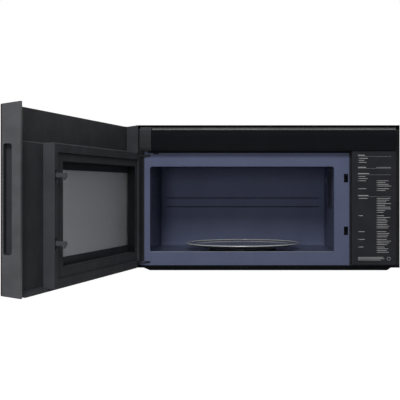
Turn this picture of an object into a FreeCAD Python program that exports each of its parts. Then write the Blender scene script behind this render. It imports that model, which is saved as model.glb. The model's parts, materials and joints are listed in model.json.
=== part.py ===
"""Over-the-range microwave oven with its door open.

Frame: X to the right, Y into the wall (wall face at Y 0, front towards -Y), Z up from the base plate.
All lengths are in millimetres. The door is modelled closed and then swung open about its hinge axis.
"""
import FreeCAD, Part
import Sketcher
import math
import os
import re

os.makedirs("parts", exist_ok=True)
doc = FreeCAD.newDocument("over_range_microwave")
sheet = doc.addObject("Spreadsheet::Sheet", "Sizes")

SIZES = {
    # case
    "case_half_width": 379.5, "case_top": 418.5, "case_bottom": 8, "case_front": -392,
    "steel": 1.2, "touch_gap": 0.3, "swing_gap": 1.5,
    # base plate
    "pan_left_inset": 38.5, "pan_right_inset": 35.5, "pan_chamfer_left": 19, "pan_chamfer_right": 12,
    "pan_front_inset": 6, "pan_back_inset": 8,
    "filter_centre": 230, "filter_width": 120, "filter_length": 270, "filter_front": -330,
    "filter_thickness": 7, "filter_seat": 5, "filter_bar": 8, "tab_width": 30,
    "lens_centre": 75, "lens_width": 90, "lens_length": 60, "lens_front": -355, "lens_thickness": 3,
    "screw_inset": 11.5, "screw_radius": 4, "screw_height": 2.2, "screw_shank": 1.8, "screw_grip": 9,
    # cavity
    "flange_front": -381.5, "flange_inset": 2.5, "flange_bottom": 13.2, "flange_drop": 10.5,
    "bay_width": 143.8, "hinge_margin": 36.4, "latch_margin": 44.6, "opening_bottom": 54.1,
    "opening_corner": 6.5, "cavity_overhang": 3.4, "ceiling_overhang": 3.5, "cavity_floor": 48,
    "blower_room": 115.5, "cavity_back": -15.5, "cavity_corner": 12,
    "band_bottom": 175, "band_top": 204, "band_depth": 1.5, "band_end_gap": 24,
    "latch_slot_inset": 15.6, "latch_slot_width": 11.8, "latch_slot_height": 24.6,
    "upper_slot_drop": 45.7, "lower_slot_bottom": 101.4,
    "slit_inset": 20, "slit_width": 17.3, "slit_height": 5,
    # front trim
    "fascia_left_inset": 46.5, "fascia_right_inset": 13.5, "fascia_span": 68.3, "fascia_drop": 6.5,
    "fascia_depth": 31, "fascia_lip": 20, "fascia_wall": 2.5, "fascia_top_curve": 14, "fascia_slope": 4,
    "cap_inset": 14, "cap_gap": 1, "trim_round": 3,
    "vent_slot_length": 26, "vent_slot_width": 4, "vent_slot_pitch": 34, "vent_slot_count": 18,
    "label_width": 126.6, "label_inset": 12.9, "label_bottom": 18, "label_gap": 1.2,
    "label_depth": 17, "label_wall": 2.5, "label_corner": 4, "bracket_lip": 14,
    # hinges and door swing
    "hinge_inset": 3.4, "hinge_ahead": 2, "pin_radius": 2, "pin_reach": 1, "boss_radius": 3.2,
    "hinge_sheet": 3, "hinge_foot": 14, "upper_plate_drop": 15, "lower_plate_bottom": 21.9,
    "pin_gap": 0.08, "arm_gap": 0.3, "door_open": 101.7, "door_gap": 3.5,
    # door
    "door_depth": 44.6, "door_low": 8.2, "door_taper": 5, "glass_thickness": 3, "end_cap_width": 21,
    "rim_width": 8, "hinge_cap_width": 14, "end_wall": 1.5, "tray_sheet": 2.5, "tray_face": 29,
    "tray_top_face": 10.8, "tray_step_drop": 2.7, "tray_step": 5, "lip_height": 7,
    "pocket_low": 98.8, "pocket_drop": 87.6, "pocket_front": 6, "pocket_back": 25.2,
    "pocket_depth": 14, "pocket_round": 5,
    # choke block
    "choke_left": 14, "choke_free_margin": 143, "choke_low": 12, "choke_drop": 4.7, "choke_face": 57,
    "choke_wall": 2.5, "choke_border": 21, "choke_step": 4, "recess_left": 54, "recess_free_margin": 198,
    "recess_low": 56, "recess_drop": 0.5, "choke_radius": 3,
    "notch_right": 46, "notch_height": 12, "pane_thickness": 2, "pane_overlap": 6,
    "frame_sheet": 1, "frame_inset": 6, "lip_margin": 14, "lip_low_margin": 18, "lip_reach": 18,
    "mesh_thickness": 0.8,
    # latch
    "latch_margin_free": 153.5, "hook_thickness": 4, "hook_reach": 25, "hook_neck": 10, "hook_nose": 6,
    "hook_nose_length": 8, "latch_travel": 4, "latch_bar_width": 11, "latch_bar_thickness": 3,
    "lever_height": 24, "lever_pin": 1, "lever_ahead": 3, "latch_board_gap": 4.1, "latch_board_sheet": 3,
    "latch_board_reach": 46, "latch_board_below": 10, "latch_board_above": 36,
    "switch_depth": 20, "switch_height": 24,
    # turntable
    "table_centre": -74.8, "table_ahead": -198.5, "tray_radius": 175, "tray_rim_top": 69,
    "glass_tray_thickness": 5, "roller_radius": 6, "roller_width": 7, "roller_circle": 110,
    "axle_radius": 1.5, "ring_width": 8, "ring_thickness": 3, "coupler_radius": 30,
    "shaft_radius": 3.5, "floor_hole": 9, "table_motor_radius": 25, "table_motor_height": 20,
    # high-voltage parts
    "guide_front": -275, "guide_back": -165, "guide_low": 185, "guide_high": 275, "guide_depth": 38,
    "guide_rim": 8, "cover_front": -289.5, "cover_back": -151.5, "cover_low": 176, "cover_high": 286,
    "mica_thickness": 0.4, "antenna_radius": 8, "antenna_length": 22, "magnetron_width": 100,
    "magnetron_length": 80, "magnetron_height": 90, "tube_radius": 22, "fin_count": 9, "fin_thickness": 0.8,
    "core_inset": 164.5, "core_width": 90, "core_length": 100, "core_height": 76, "core_front": -245,
    "core_yoke": 14, "core_window": 16, "coil_bulge": 12, "core_lift": 14,
    "capacitor_inset": 57.5, "capacitor_width": 34, "capacitor_front": -335, "capacitor_length": 54,
    "capacitor_height": 96, "lug_height": 9, "diode_height": 18, "diode_gap": 12,
    # air
    "fan_radius": 52, "fan_hub": 18, "fan_frame": 124, "fan_frame_depth": 30, "fan_wall": 3,
    "fan_inset": 79.5, "fan_height": 150, "fan_blades": 5, "fan_motor_length": 13, "fan_strut": 8,
    "fan_corner": 8, "blade_tilt": 32, "blade_root": 2,
    "drum_radius": 42, "drum_length": 66, "drum_blades": 18, "drum_blade": 6, "drum_gap": 8,
    "blower_half": 155, "blower_front": -140, "blower_back": -24, "blower_drop": 2.5,
    "blower_motor_radius": 36, "blower_motor_length": 60, "blower_foot": 28, "exhaust_front": -123.5,
    "exhaust_back": -41, "exhaust_half": 127,
    "charcoal_half": 125, "charcoal_front": -345, "charcoal_length": 130, "charcoal_height": 18,
    # boards, lamp and controls
    "board_post": 9, "post_radius": 3, "board_margin": 6, "board_low": 70, "board_height": 150,
    "board_inset": 12, "board_thickness": 1.6, "relay_count": 3, "relay_start": 10, "relay_pitch": 26,
    "relay_width": 18, "relay_low": 24, "relay_height": 22, "relay_depth": 16, "coil_start": 14,
    "coil_width": 36, "coil_low": 70, "coil_height": 32, "coil_depth": 26, "can_radius": 8,
    "can_start": 76, "can_rise": 84, "can_depth": 22,
    "filter_board_width": 80, "filter_board_length": 75, "filter_coil": 14, "filter_coil_height": 18,
    "lamp_back": -70, "lamp_height": 262, "lamp_radius": 12, "lamp_length": 22,
    "touch_inset": 29, "touch_width": 100, "touch_low": 70, "touch_drop": 23.2, "foil_thickness": 0.8,
    "display_drop": 68.2, "display_height": 36, "display_inset": 15, "display_depth": 4,
    "touch_board_inset": 10, "touch_board_rise": 60, "touch_board_gap": 12,
    # mounts
    "hook_slot": 36, "hook_slot_height": 8, "hook_height": 60, "hook_offset": 300,
    "cord_inset": 49.5, "cord_back": -60, "bushing_radius": 9, "bushing_bore": 5, "bushing_flange": 3,
    "bushing_depth": 5, "bolt_offset": 267, "bolt_back": -292, "bolt_hole": 3.5,
}

# places that follow the driving sizes, each by a named margin
FOLLOWING = {
    "pan_left": "pan_left_inset - case_half_width", "pan_right": "case_half_width - pan_right_inset",
    "screw_side": "case_half_width - screw_inset", "cord_right": "case_half_width - cord_inset",
    "flange_left": "flange_inset - case_half_width", "flange_right": "case_half_width - bay_width",
    "flange_top": "case_top - flange_drop", "opening_left": "flange_left + hinge_margin",
    "opening_right": "flange_right - latch_margin", "cavity_ceiling": "case_top - blower_room",
    "opening_top": "cavity_ceiling - ceiling_overhang",
    "latch_slot_left": "flange_right - latch_slot_inset",
    "latch_slot_right": "latch_slot_left + latch_slot_width",
    "upper_slot_bottom": "opening_top - upper_slot_drop",
    "slit_left": "flange_left + slit_inset", "slit_right": "slit_left + slit_width",
    "fascia_left": "fascia_left_inset - case_half_width",
    "fascia_right": "case_half_width - fascia_right_inset",
    "fascia_top": "case_top - fascia_drop", "fascia_bottom": "fascia_top - fascia_span",
    "cap_left": "cap_inset - case_half_width",
    "label_right": "case_half_width - label_inset", "label_left": "label_right - label_width",
    "label_top": "fascia_bottom - label_gap", "upper_plate_bottom": "fascia_bottom - upper_plate_drop",
    "door_width": "2 * case_half_width", "door_high": "case_top - touch_gap",
    "cap_start": "door_width - end_cap_width", "pocket_high": "door_high - pocket_drop",
    "tray_step_high": "fascia_bottom - tray_step_drop", "tray_step_low": "tray_step_high - tray_step",
    "choke_right": "door_width - choke_free_margin", "choke_high": "fascia_bottom - choke_drop",
    "recess_right": "door_width - recess_free_margin", "recess_high": "opening_top - recess_drop",
    "latch_centre": "door_width - latch_margin_free",
    "latch_board_right": "latch_slot_left - latch_board_gap",
    "core_left": "case_half_width - core_inset", "capacitor_left": "case_half_width - capacitor_inset",
    "fan_x": "case_half_width - fan_inset", "blower_high": "case_top - blower_drop",
    "touch_right": "door_width - touch_inset", "touch_left": "touch_right - touch_width",
    "touch_high": "door_high - touch_drop", "display_low": "door_high - display_drop",
}

for row, (alias, value) in enumerate(SIZES.items(), 1):
    sheet.set("A%d" % row, alias)
    sheet.set("B%d" % row, str(value))
    sheet.setAlias("B%d" % row, alias)
doc.recompute()

UPRIGHT = FreeCAD.Rotation()
ALONG = {
    "X": FreeCAD.Rotation(FreeCAD.Vector(0, 1, 0), 90),
    "Y": FreeCAD.Rotation(FreeCAD.Vector(1, 0, 0), -90),
    "Z": UPRIGHT,
}
PLANES = {"XY": "XY_Plane", "XZ": "XZ_Plane", "YZ": "YZ_Plane"}
nodes = []


def bound(formula):
    """Point every size name of a formula at its cell, by way of the names that follow a size."""
    def cell(word):
        name = word.group()
        if name in FOLLOWING:
            return "(%s)" % bound(FOLLOWING[name])
        return "Sizes." + name if name in SIZES else name
    return re.sub(r"[a-z][a-z_]+", cell, str(formula))


def size(formula):
    """The present value of a formula of sizes."""
    return float(sheet.evalExpression(bound(formula)))


def place(thing, x=0, y=0, z=0):
    for letter, formula in zip("xyz", (x, y, z)):
        thing.setExpression("Placement.Base." + letter, bound(formula))
    return thing


def block(name, x, y, z):
    """A box given by its low and high formula along each axis."""
    box = doc.addObject("Part::Box", name)
    for side, (low, high) in zip(("Length", "Width", "Height"), (x, y, z)):
        box.setExpression(side, bound("(%s) - (%s)" % (high, low)))
    return place(box, x[0], y[0], z[0])


def rod(name, axis, along, across, radius):
    """A cylinder along an axis, between two formulas, centred across on the other two axes."""
    cylinder = doc.addObject("Part::Cylinder", name)
    cylinder.setExpression("Radius", bound(radius))
    cylinder.setExpression("Height", bound("(%s) - (%s)" % (along[1], along[0])))
    cylinder.Placement = FreeCAD.Placement(FreeCAD.Vector(), ALONG[axis])
    spot = list(across)
    spot.insert("XYZ".index(axis), along[0])
    return place(cylinder, *spot)


def group(name, pieces):
    bundle = doc.addObject("Part::Compound", name)
    bundle.Links = list(pieces)
    return bundle


def fuse(name, *pieces):
    joined = doc.addObject("Part::MultiFuse", name)
    joined.Shapes = list(pieces)
    joined.Refine = True
    return joined


def cut(name, base, *tools):
    pared = doc.addObject("Part::Cut", name)
    pared.Base = base
    pared.Tool = tools[0] if len(tools) == 1 else group(name + "_tools", tools)
    pared.Refine = True
    return pared


def common(name, base, tool):
    kept = doc.addObject("Part::Common", name)
    kept.Base = base
    kept.Tool = tool
    kept.Refine = True
    return kept


def profile_sketch(name, plane, corners, start):
    """A body holding a closed outline whose corner formulas are bound to the sizes."""
    body = doc.addObject("PartDesign::Body", name)
    outline = body.newObject("Sketcher::SketchObject", name + "_sketch")
    origin = [f for f in body.Origin.OriginFeatures if f.Role == PLANES[plane]][0]
    outline.AttachmentSupport = (origin, [""])
    outline.MapMode = "FlatFace"
    outline.setExpression("AttachmentOffset.Base.z", bound(start))
    spots = [FreeCAD.Vector(size(u), size(v), 0) for u, v in corners]
    count = len(spots)
    for at in range(count):
        outline.addGeometry(Part.LineSegment(spots[at], spots[(at + 1) % count]), False)
    for at in range(count):
        outline.addConstraint(Sketcher.Constraint("Coincident", at, 2, (at + 1) % count, 1))
    for at, (u, v) in enumerate(corners):
        for kind, formula, value in (("DistanceX", u, spots[at].x), ("DistanceY", v, spots[at].y)):
            index = outline.addConstraint(Sketcher.Constraint(kind, -1, 1, at, 1, value))
            outline.setExpression("Constraints[%d]" % index, bound(formula))
    return body


def profile(name, plane, corners, low, high):
    """A body padded from such an outline, between two formulas across its plane."""
    body = profile_sketch(name, plane, corners, "-(%s)" % high if plane == "XZ" else low)
    outline = body.Group[0]
    pad = body.newObject("PartDesign::Pad", name + "_pad")
    pad.Profile = outline
    pad.setExpression("Length", bound("(%s) - (%s)" % (high, low)))
    doc.recompute()
    return body


def turned(name, corners, x, y):
    """A body revolved about an upright axis at x, y from an outline of radius and height formulas."""
    body = profile_sketch(name, "XZ", corners, "0")
    spin = body.newObject("PartDesign::Revolution", name + "_spin")
    spin.Profile = body.Group[0]
    spin.ReferenceAxis = (body.Group[0], ["V_Axis"])
    spin.Angle = 360
    doc.recompute()
    return place(body, x, y)


def rounded(body, radius, chosen):
    """Round the edges of a body's solid that the test picks out."""
    tip = body.Tip
    edges = ["Edge%d" % n for n, edge in enumerate(tip.Shape.Edges, 1) if chosen(edge)]
    round_off = body.newObject("PartDesign::Fillet", body.Name + "_round")
    round_off.Base = (tip, edges)
    round_off.setExpression("Radius", bound(radius))
    doc.recompute()
    return body


def runs_along(edge, axis):
    first, last = edge.Vertexes[0].Point, edge.Vertexes[-1].Point
    gaps = [abs(first[n] - last[n]) for n in range(3)]
    return gaps["XYZ".index(axis)] > 0.5 * sum(gaps) > 0


def node(label, thing, swung=False):
    """Name a finished piece, and swing it open with the door where it belongs to the door."""
    if swung:
        thing = group(label + "_open", [thing])
        thing.setExpression("Placement.Rotation.Angle", bound("-door_open"))
        thing.Placement.Rotation.Axis = FreeCAD.Vector(0, 0, 1)
        turn = "(1 - cos(door_open))"
        place(
            thing,
            "%s * (%s) - sin(door_open) * (%s)" % (turn, HINGE_X, HINGE_Y),
            "sin(door_open) * (%s) + %s * (%s)" % (HINGE_X, turn, HINGE_Y),
        )
    thing.Label = label
    nodes.append(thing)
    return thing


LEFT, RIGHT = "-case_half_width", "case_half_width"
HINGE_X = "(hinge_inset - case_half_width)"
HINGE_Y = "(case_front - door_gap - hinge_ahead)"
DOOR_FACE = "(case_front - door_gap - door_depth)"


def across(formula):
    """A width measured on the door from its hinge end, as X."""
    return "(%s) - case_half_width" % formula


def depth(formula):
    """A depth measured from the door's front face, as Y."""
    return "%s + (%s)" % (DOOR_FACE, formula)


# planes that several pieces share
SHELF_TOP = "case_bottom + 2 * steel"
GUIDE_START = "opening_right + cavity_overhang + steel"
GUIDE_MID_Y = "(guide_front + guide_back) / 2"
GUIDE_MID_Z = "(guide_low + guide_high) / 2"
TUBE_START = GUIDE_START + " + guide_depth"
FAN_BACK = "-steel"
FAN_FRONT = "-steel - fan_frame_depth"
BLOWER_LOW = "cavity_ceiling + steel"
BLOWER_Y = "(blower_front + blower_back) / 2"
BLOWER_Z = "(cavity_ceiling + steel + blower_high) / 2"
TABLE = ("table_centre", "table_ahead")
TRAY_LOW = "cavity_floor + 2 * roller_radius + touch_gap"
FRONT_LOW = "door_low + door_taper"
FRONT_HIGH = "door_high - door_taper"
LIP_TOP = "choke_low - touch_gap"
FRAME_FACE = "tray_face + frame_sheet"
PANE_FACE = "tray_face + frame_sheet + pane_thickness"
PANE_X = ("recess_left - pane_overlap", "recess_right + pane_overlap")
PANE_Z = ("recess_low - pane_overlap", "recess_high + pane_overlap")
WINDOW = (
    "recess_left + frame_inset", "recess_right - frame_inset",
    "recess_low + frame_inset", "recess_high - frame_inset",
)
HOOK_TIP = depth("choke_face + hook_reach")
LEVER_Y = HOOK_TIP + " + swing_gap + lever_ahead"


# ---------------------------------------------------------------- case
def outer_case():
    shell = block("case_solid", (LEFT, RIGHT), ("case_front", "-steel"), ("case_bottom", "case_top"))
    hollow = block(
        "case_hollow", (LEFT + " + steel", RIGHT + " - steel"),
        ("case_front - 1", "1"), ("case_bottom - 1", "case_top - steel"),
    )
    exhaust = block(
        "case_exhaust", ("-exhaust_half", "exhaust_half"),
        ("exhaust_front", "exhaust_back"), ("case_top - 2 * steel", "case_top + 1"),
    )
    top = ("case_top - 2 * steel", "case_top + 1")
    cord_hole = rod("case_cord_hole", "Z", top, ("cord_right", "cord_back"), "bushing_radius")
    bolts = [
        rod("case_bolt_hole_%d" % n, "Z", top, (side + "bolt_offset", "bolt_back"), "bolt_hole")
        for n, side in enumerate(("-", ""))
    ]
    return cut("case_wrap", shell, hollow, exhaust, cord_hole, *bolts)


def back_plate():
    plate = block(
        "back_sheet", (LEFT + " + steel", RIGHT + " - steel"),
        ("-steel", "0"), ("case_bottom + steel", "case_top - steel"),
    )
    slots = [
        block(
            "hook_slot_%d" % n, (x + " - hook_slot / 2", x + " + hook_slot / 2"),
            ("-2 * steel", "steel"), ("hook_height", "hook_height + hook_slot_height"),
        )
        for n, x in enumerate(("-hook_offset", "0", "hook_offset"))
    ]
    return cut("back_plate_cut", plate, *slots)


def base_plate():
    """The sheet that closes the case below, with the shallow pan pressed in it."""
    ends = ("pan_left - pan_chamfer_left", "pan_right + pan_chamfer_right")
    pan_y = ("case_front + pan_front_inset", "-pan_back_inset")
    inner_y = (pan_y[0] + " + steel", pan_y[1] + " - steel")
    outer = profile(
        "pan_outer", "XZ",
        [(ends[0], "case_bottom"), ("pan_left", "0"), ("pan_right", "0"), (ends[1], "case_bottom")],
        *pan_y,
    )
    inner = profile(
        "pan_inner", "XZ",
        [
            (ends[0] + " + 2 * steel", "case_bottom + steel"), ("pan_left + steel", "steel"),
            ("pan_right - steel", "steel"), (ends[1] + " - 2 * steel", "case_bottom + steel"),
        ],
        *inner_y,
    )
    rim = block(
        "base_rim", (LEFT + " + steel", RIGHT + " - steel"),
        ("case_front", "-steel"), ("case_bottom", "case_bottom + steel"),
    )
    holes = []
    for n, side in enumerate(("-", "")):
        middle = side + "filter_centre"
        holes.append(block(
            "filter_hole_%d" % n,
            (middle + " - filter_width / 2 + filter_seat", middle + " + filter_width / 2 - filter_seat"),
            ("filter_front + filter_seat", "filter_front + filter_length - filter_seat"),
            ("-1", "2 * steel"),
        ))
        lens = side + "lens_centre"
        holes.append(block(
            "lens_hole_%d" % n,
            (lens + " - lens_width / 2 + filter_seat", lens + " + lens_width / 2 - filter_seat"),
            ("lens_front + filter_seat", "lens_front + lens_length - filter_seat"),
            ("-1", "2 * steel"),
        ))
    return cut("base_plate_cut", fuse("base_joined", outer, rim), inner, *holes, *screw_holes("base"))


SCREW_SPOTS = [
    (side + "screw_side", "case_front * %r" % share) for side in ("-", "") for share in (0.1, 0.5, 0.9)
]


def screw_holes(stem):
    return [
        rod(
            "%s_screw_hole_%d" % (stem, n), "Z", ("case_bottom - 1", "case_bottom + 3 * steel"),
            spot, "screw_shank",
        )
        for n, spot in enumerate(SCREW_SPOTS)
    ]


def base_screws():
    """Pan-head screws that hold the base plate up to the case."""
    screws = []
    for n, (x, y) in enumerate(SCREW_SPOTS):
        below = ("case_bottom - screw_height", "case_bottom")
        inside = ("case_bottom - 1", "case_bottom + screw_grip")
        head = rod("screw_head_%d" % n, "Z", below, (x, y), "screw_radius")
        shank = rod("screw_shank_%d" % n, "Z", inside, (x, y), "screw_shank")
        screws.append(fuse("base_screw_%d" % n, head, shank))
    return group("screws_together", screws)


def grease_filter(side_name, side):
    """A metal frame round a thin mesh pack, with a finger tab, lying on the edges of its hole."""
    middle = side + "filter_centre"
    x = (middle + " - filter_width / 2", middle + " + filter_width / 2")
    y = ("filter_front", "filter_front + filter_length")
    z = ("steel", "steel + filter_thickness")
    frame = block(side_name + "_filter_frame", x, y, z)
    upper = block(
        side_name + "_filter_upper", (x[0] + " + filter_bar", x[1] + " - filter_bar"),
        (y[0] + " + filter_bar", y[1] + " - filter_bar"), (z[0] + " + filter_thickness * 0.6", z[1] + " + 1"),
    )
    lower = block(
        side_name + "_filter_lower", (x[0] + " + filter_bar", x[1] + " - filter_bar"),
        (y[0] + " + filter_bar", y[1] + " - filter_bar"), (z[0] + " - 1", z[0] + " + filter_thickness * 0.3"),
    )
    tab = block(
        side_name + "_filter_tab", (middle + " - tab_width / 2", middle + " + tab_width / 2"),
        (y[0] + " + filter_bar", y[0] + " + filter_bar + steel"),
        (z[0], z[0] + " + filter_thickness * 0.5"),
    )
    return fuse(side_name + "_filter_whole", cut(side_name + "_filter_cut", frame, upper, lower), tab)


def lamp_lens(side_name, side):
    middle = side + "lens_centre"
    return block(
        side_name + "_lens", (middle + " - lens_width / 2", middle + " + lens_width / 2"),
        ("lens_front", "lens_front + lens_length"), ("steel", "steel + lens_thickness"),
    )


# ---------------------------------------------------------------- oven cavity
def slot_holes(stem, y):
    """Cuts for the two latch slots and the two hinge slits of the cavity flange."""
    holes = []
    for name in ("upper", "lower"):
        low = name + "_slot_bottom"
        holes.append(block(
            stem + name + "_latch", ("latch_slot_left", "latch_slot_right"), y,
            (low, low + " + latch_slot_height"),
        ))
        middle = name + "_plate_bottom + hinge_sheet / 2"
        holes.append(block(
            stem + name + "_slit", ("slit_left - touch_gap", "slit_right + touch_gap"), y,
            (middle + " - slit_height / 2", middle + " + slit_height / 2"),
        ))
    return holes


def cavity_box():
    """The enamelled oven box: a pressed flange with a rounded opening and a five-sided box behind it."""
    flange_y = ("flange_front", "flange_front + steel")
    flange = block(
        "cavity_flange", ("flange_left", "flange_right"), flange_y, ("flange_bottom", "flange_top"),
    )
    inside = ("opening_left - cavity_overhang", "opening_right + cavity_overhang")
    outside = (inside[0] + " - steel", inside[1] + " + steel")
    shell = block(
        "cavity_outside", outside, (flange_y[1], "cavity_back + steel"),
        ("cavity_floor - steel", "cavity_ceiling + steel"),
    )
    upright = rounded(
        profile(
            "cavity_inside", "XY",
            [
                (inside[0], flange_y[1]), (inside[1], flange_y[1]),
                (inside[1], "cavity_back"), (inside[0], "cavity_back"),
            ],
            "cavity_floor", "cavity_ceiling",
        ),
        "cavity_corner",
        lambda edge: min(corner.Y for corner in edge.Vertexes) > size("cavity_back") - 1
        and not (runs_along(edge, "X") and edge.Vertexes[0].Z > size("cavity_floor") + 1),
    )
    opening = rounded(
        profile(
            "cavity_opening", "XZ",
            [
                ("opening_left", "opening_bottom"), ("opening_right", "opening_bottom"),
                ("opening_right", "opening_top"), ("opening_left", "opening_top"),
            ],
            "flange_front - 1", flange_y[1] + " + 1",
        ),
        "opening_corner", lambda edge: runs_along(edge, "Y"),
    )
    band = block(
        "back_band", (inside[0] + " + band_end_gap", inside[1] + " - band_end_gap"),
        ("cavity_back - 1", "cavity_back + band_depth"), ("band_bottom", "band_top"),
    )
    band_backing = block(
        "band_backing", (inside[0] + " + band_end_gap - steel", inside[1] + " - band_end_gap + steel"),
        ("cavity_back + steel", "cavity_back + band_depth + steel"),
        ("band_bottom - steel", "band_top + steel"),
    )
    shaft_hole = rod(
        "floor_shaft_hole", "Z", ("cavity_floor - 2 * steel", "cavity_floor + 1"),
        ("table_centre", "table_ahead"), "floor_hole",
    )
    wave_hole = block(
        "wave_hole", ("opening_right", outside[1] + " + 1"),
        ("guide_front + guide_rim", "guide_back - guide_rim"),
        ("guide_low + guide_rim", "guide_high - guide_rim"),
    )
    lamp_hole = rod(
        "lamp_hole", "X", ("opening_right", outside[1] + " + 1"), ("lamp_back", "lamp_height"), "lamp_radius",
    )
    whole = fuse("cavity_joined", flange, shell, band_backing)
    return cut(
        "cavity_cut", whole, upright, opening, band, shaft_hole, wave_hole, lamp_hole,
        *slot_holes("cavity_", ("flange_front - 1", flange_y[1] + " + 1")),
    )


def waveguide_cover():
    wall = "opening_right + cavity_overhang"
    return rounded(
        profile(
            "mica_sheet", "YZ",
            [
                ("cover_front", "cover_low"), ("cover_back", "cover_low"),
                ("cover_back", "cover_high"), ("cover_front", "cover_high"),
            ],
            wall + " - mica_thickness", wall,
        ),
        "steel", lambda edge: runs_along(edge, "X"),
    )


def waveguide():
    """A rectangular duct on the cavity wall, closed at its far side but for the antenna hole."""
    x = (GUIDE_START, GUIDE_START + " + guide_depth")
    duct = block("guide_solid", x, ("guide_front", "guide_back"), ("guide_low", "guide_high"))
    hollow = block(
        "guide_hollow", (x[0] + " - 1", x[1] + " - steel"), ("guide_front + steel", "guide_back - steel"),
        ("guide_low + steel", "guide_high - steel"),
    )
    hole = rod(
        "antenna_hole", "X", (x[1] + " - 2 * steel", x[1] + " + 1"), (GUIDE_MID_Y, GUIDE_MID_Z),
        "antenna_radius + swing_gap",
    )
    return cut("guide_cut", duct, hollow, hole)


def magnetron():
    """The tube with its cooling fins inside a square yoke, antenna towards the duct."""
    half_y, half_z = "magnetron_length / 2", "magnetron_height / 2"
    x = (TUBE_START, TUBE_START + " + magnetron_width")
    y = (GUIDE_MID_Y + " - " + half_y, GUIDE_MID_Y + " + " + half_y)
    z = (GUIDE_MID_Z + " - " + half_z, GUIDE_MID_Z + " + " + half_z)
    solids = [
        rod("antenna", "X", (TUBE_START + " - antenna_length", TUBE_START + " + 1"),
            (GUIDE_MID_Y, GUIDE_MID_Z), "antenna_radius"),
        rod("tube_core", "X", x, (GUIDE_MID_Y, GUIDE_MID_Z), "tube_radius"),
        block("yoke_near", (x[0], x[0] + " + 2 * steel"), y, z),
        block("yoke_far", (x[1] + " - 2 * steel", x[1]), y, z),
        block("yoke_side", x, y, (z[0], z[0] + " + 2 * steel")),
        block("yoke_other", x, y, (z[1] + " - 2 * steel", z[1])),
    ]
    for n in range(int(size("fin_count"))):
        at = "%s + magnetron_width * %s / (fin_count + 1)" % (TUBE_START, n + 1)
        fin_z = (z[0] + " + steel", z[1] + " - steel")
        solids.append(block("fin_%d" % n, (at, at + " + fin_thickness"), y, fin_z))
    return fuse("magnetron_whole", *solids)


def component_shelf():
    """The chassis sheet beside the cavity that carries the high-voltage parts."""
    sheet_metal = block(
        "shelf_sheet", (GUIDE_START + " + cap_gap", RIGHT + " - steel"),
        ("flange_front + 2 * steel", "-steel"), ("case_bottom + steel", SHELF_TOP),
    )
    return cut("shelf_cut", sheet_metal, *screw_holes("shelf"))


def transformer():
    """A laminated core standing on the base with two windings round its middle leg."""
    x = ("core_left", "core_left + core_width")
    y = ("core_front", "core_front + core_length")
    z = (SHELF_TOP + " + core_lift", SHELF_TOP + " + core_lift + core_height")
    core = block("core_stack", x, y, z)
    feet = [
        block("core_foot_%d" % n, x, (start, start + " + core_yoke"), (SHELF_TOP, z[0]))
        for n, start in enumerate((y[0], y[1] + " - core_yoke"))
    ]
    windows = [
        block(
            "core_window_%d" % n, (x[0] + " + core_yoke", x[1] + " - core_yoke"),
            (start, start + " + core_window"), (z[0] + " - 1", z[1] + " + 1"),
        )
        for n, start in enumerate((y[0] + " + core_yoke", y[1] + " - core_yoke - core_window"))
    ]
    leg_y = (y[0] + " + core_yoke + core_window", y[1] + " - core_yoke - core_window")
    coils = []
    for n, (low, high) in enumerate((("0.08", "0.46"), ("0.54", "0.92"))):
        ring_x = [
            "%s + core_yoke + (core_width - 2 * core_yoke) * %s" % (x[0], share) for share in (low, high)
        ]
        spool = block(
            "coil_%d" % n, ring_x,
            (leg_y[0] + " - core_window + touch_gap", leg_y[1] + " + core_window - touch_gap"),
            (z[0] + " - coil_bulge", z[1] + " + coil_bulge"),
        )
        bore = block(
            "coil_bore_%d" % n, (ring_x[0] + " - 1", ring_x[1] + " + 1"), leg_y, z,
        )
        coils.append(cut("winding_%d" % n, spool, bore))
    return fuse("core_whole", cut("core_cut", core, *windows), *feet), group("windings", coils)


def capacitor():
    x = ("capacitor_left", "capacitor_left + capacitor_width")
    y = ("capacitor_front", "capacitor_front + capacitor_length")
    top = SHELF_TOP + " + capacitor_height"
    corners = [(x[0], y[0]), (x[1], y[0]), (x[1], y[1]), (x[0], y[1])]
    can = rounded(
        profile("capacitor_can", "XY", corners, SHELF_TOP, top),
        "capacitor_width * 0.45", lambda edge: runs_along(edge, "Z"),
    )
    lugs = [
        block(
            "capacitor_lug_%d" % n, (x[0] + " + capacitor_width * 0.4", x[0] + " + capacitor_width * 0.6"),
            (y[0] + " + capacitor_length * %s" % share, y[0] + " + capacitor_length * %s + steel" % share),
            (top + " - 1", top + " + lug_height"),
        )
        for n, share in enumerate((0.3, 0.7))
    ]
    return fuse("capacitor_whole", can, *lugs)


def diode():
    spot = ("capacitor_left + capacitor_width / 2", "capacitor_front + capacitor_length + diode_gap")
    return rod("diode_body", "Z", (SHELF_TOP, SHELF_TOP + " + diode_height"), spot, "screw_radius")


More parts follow.
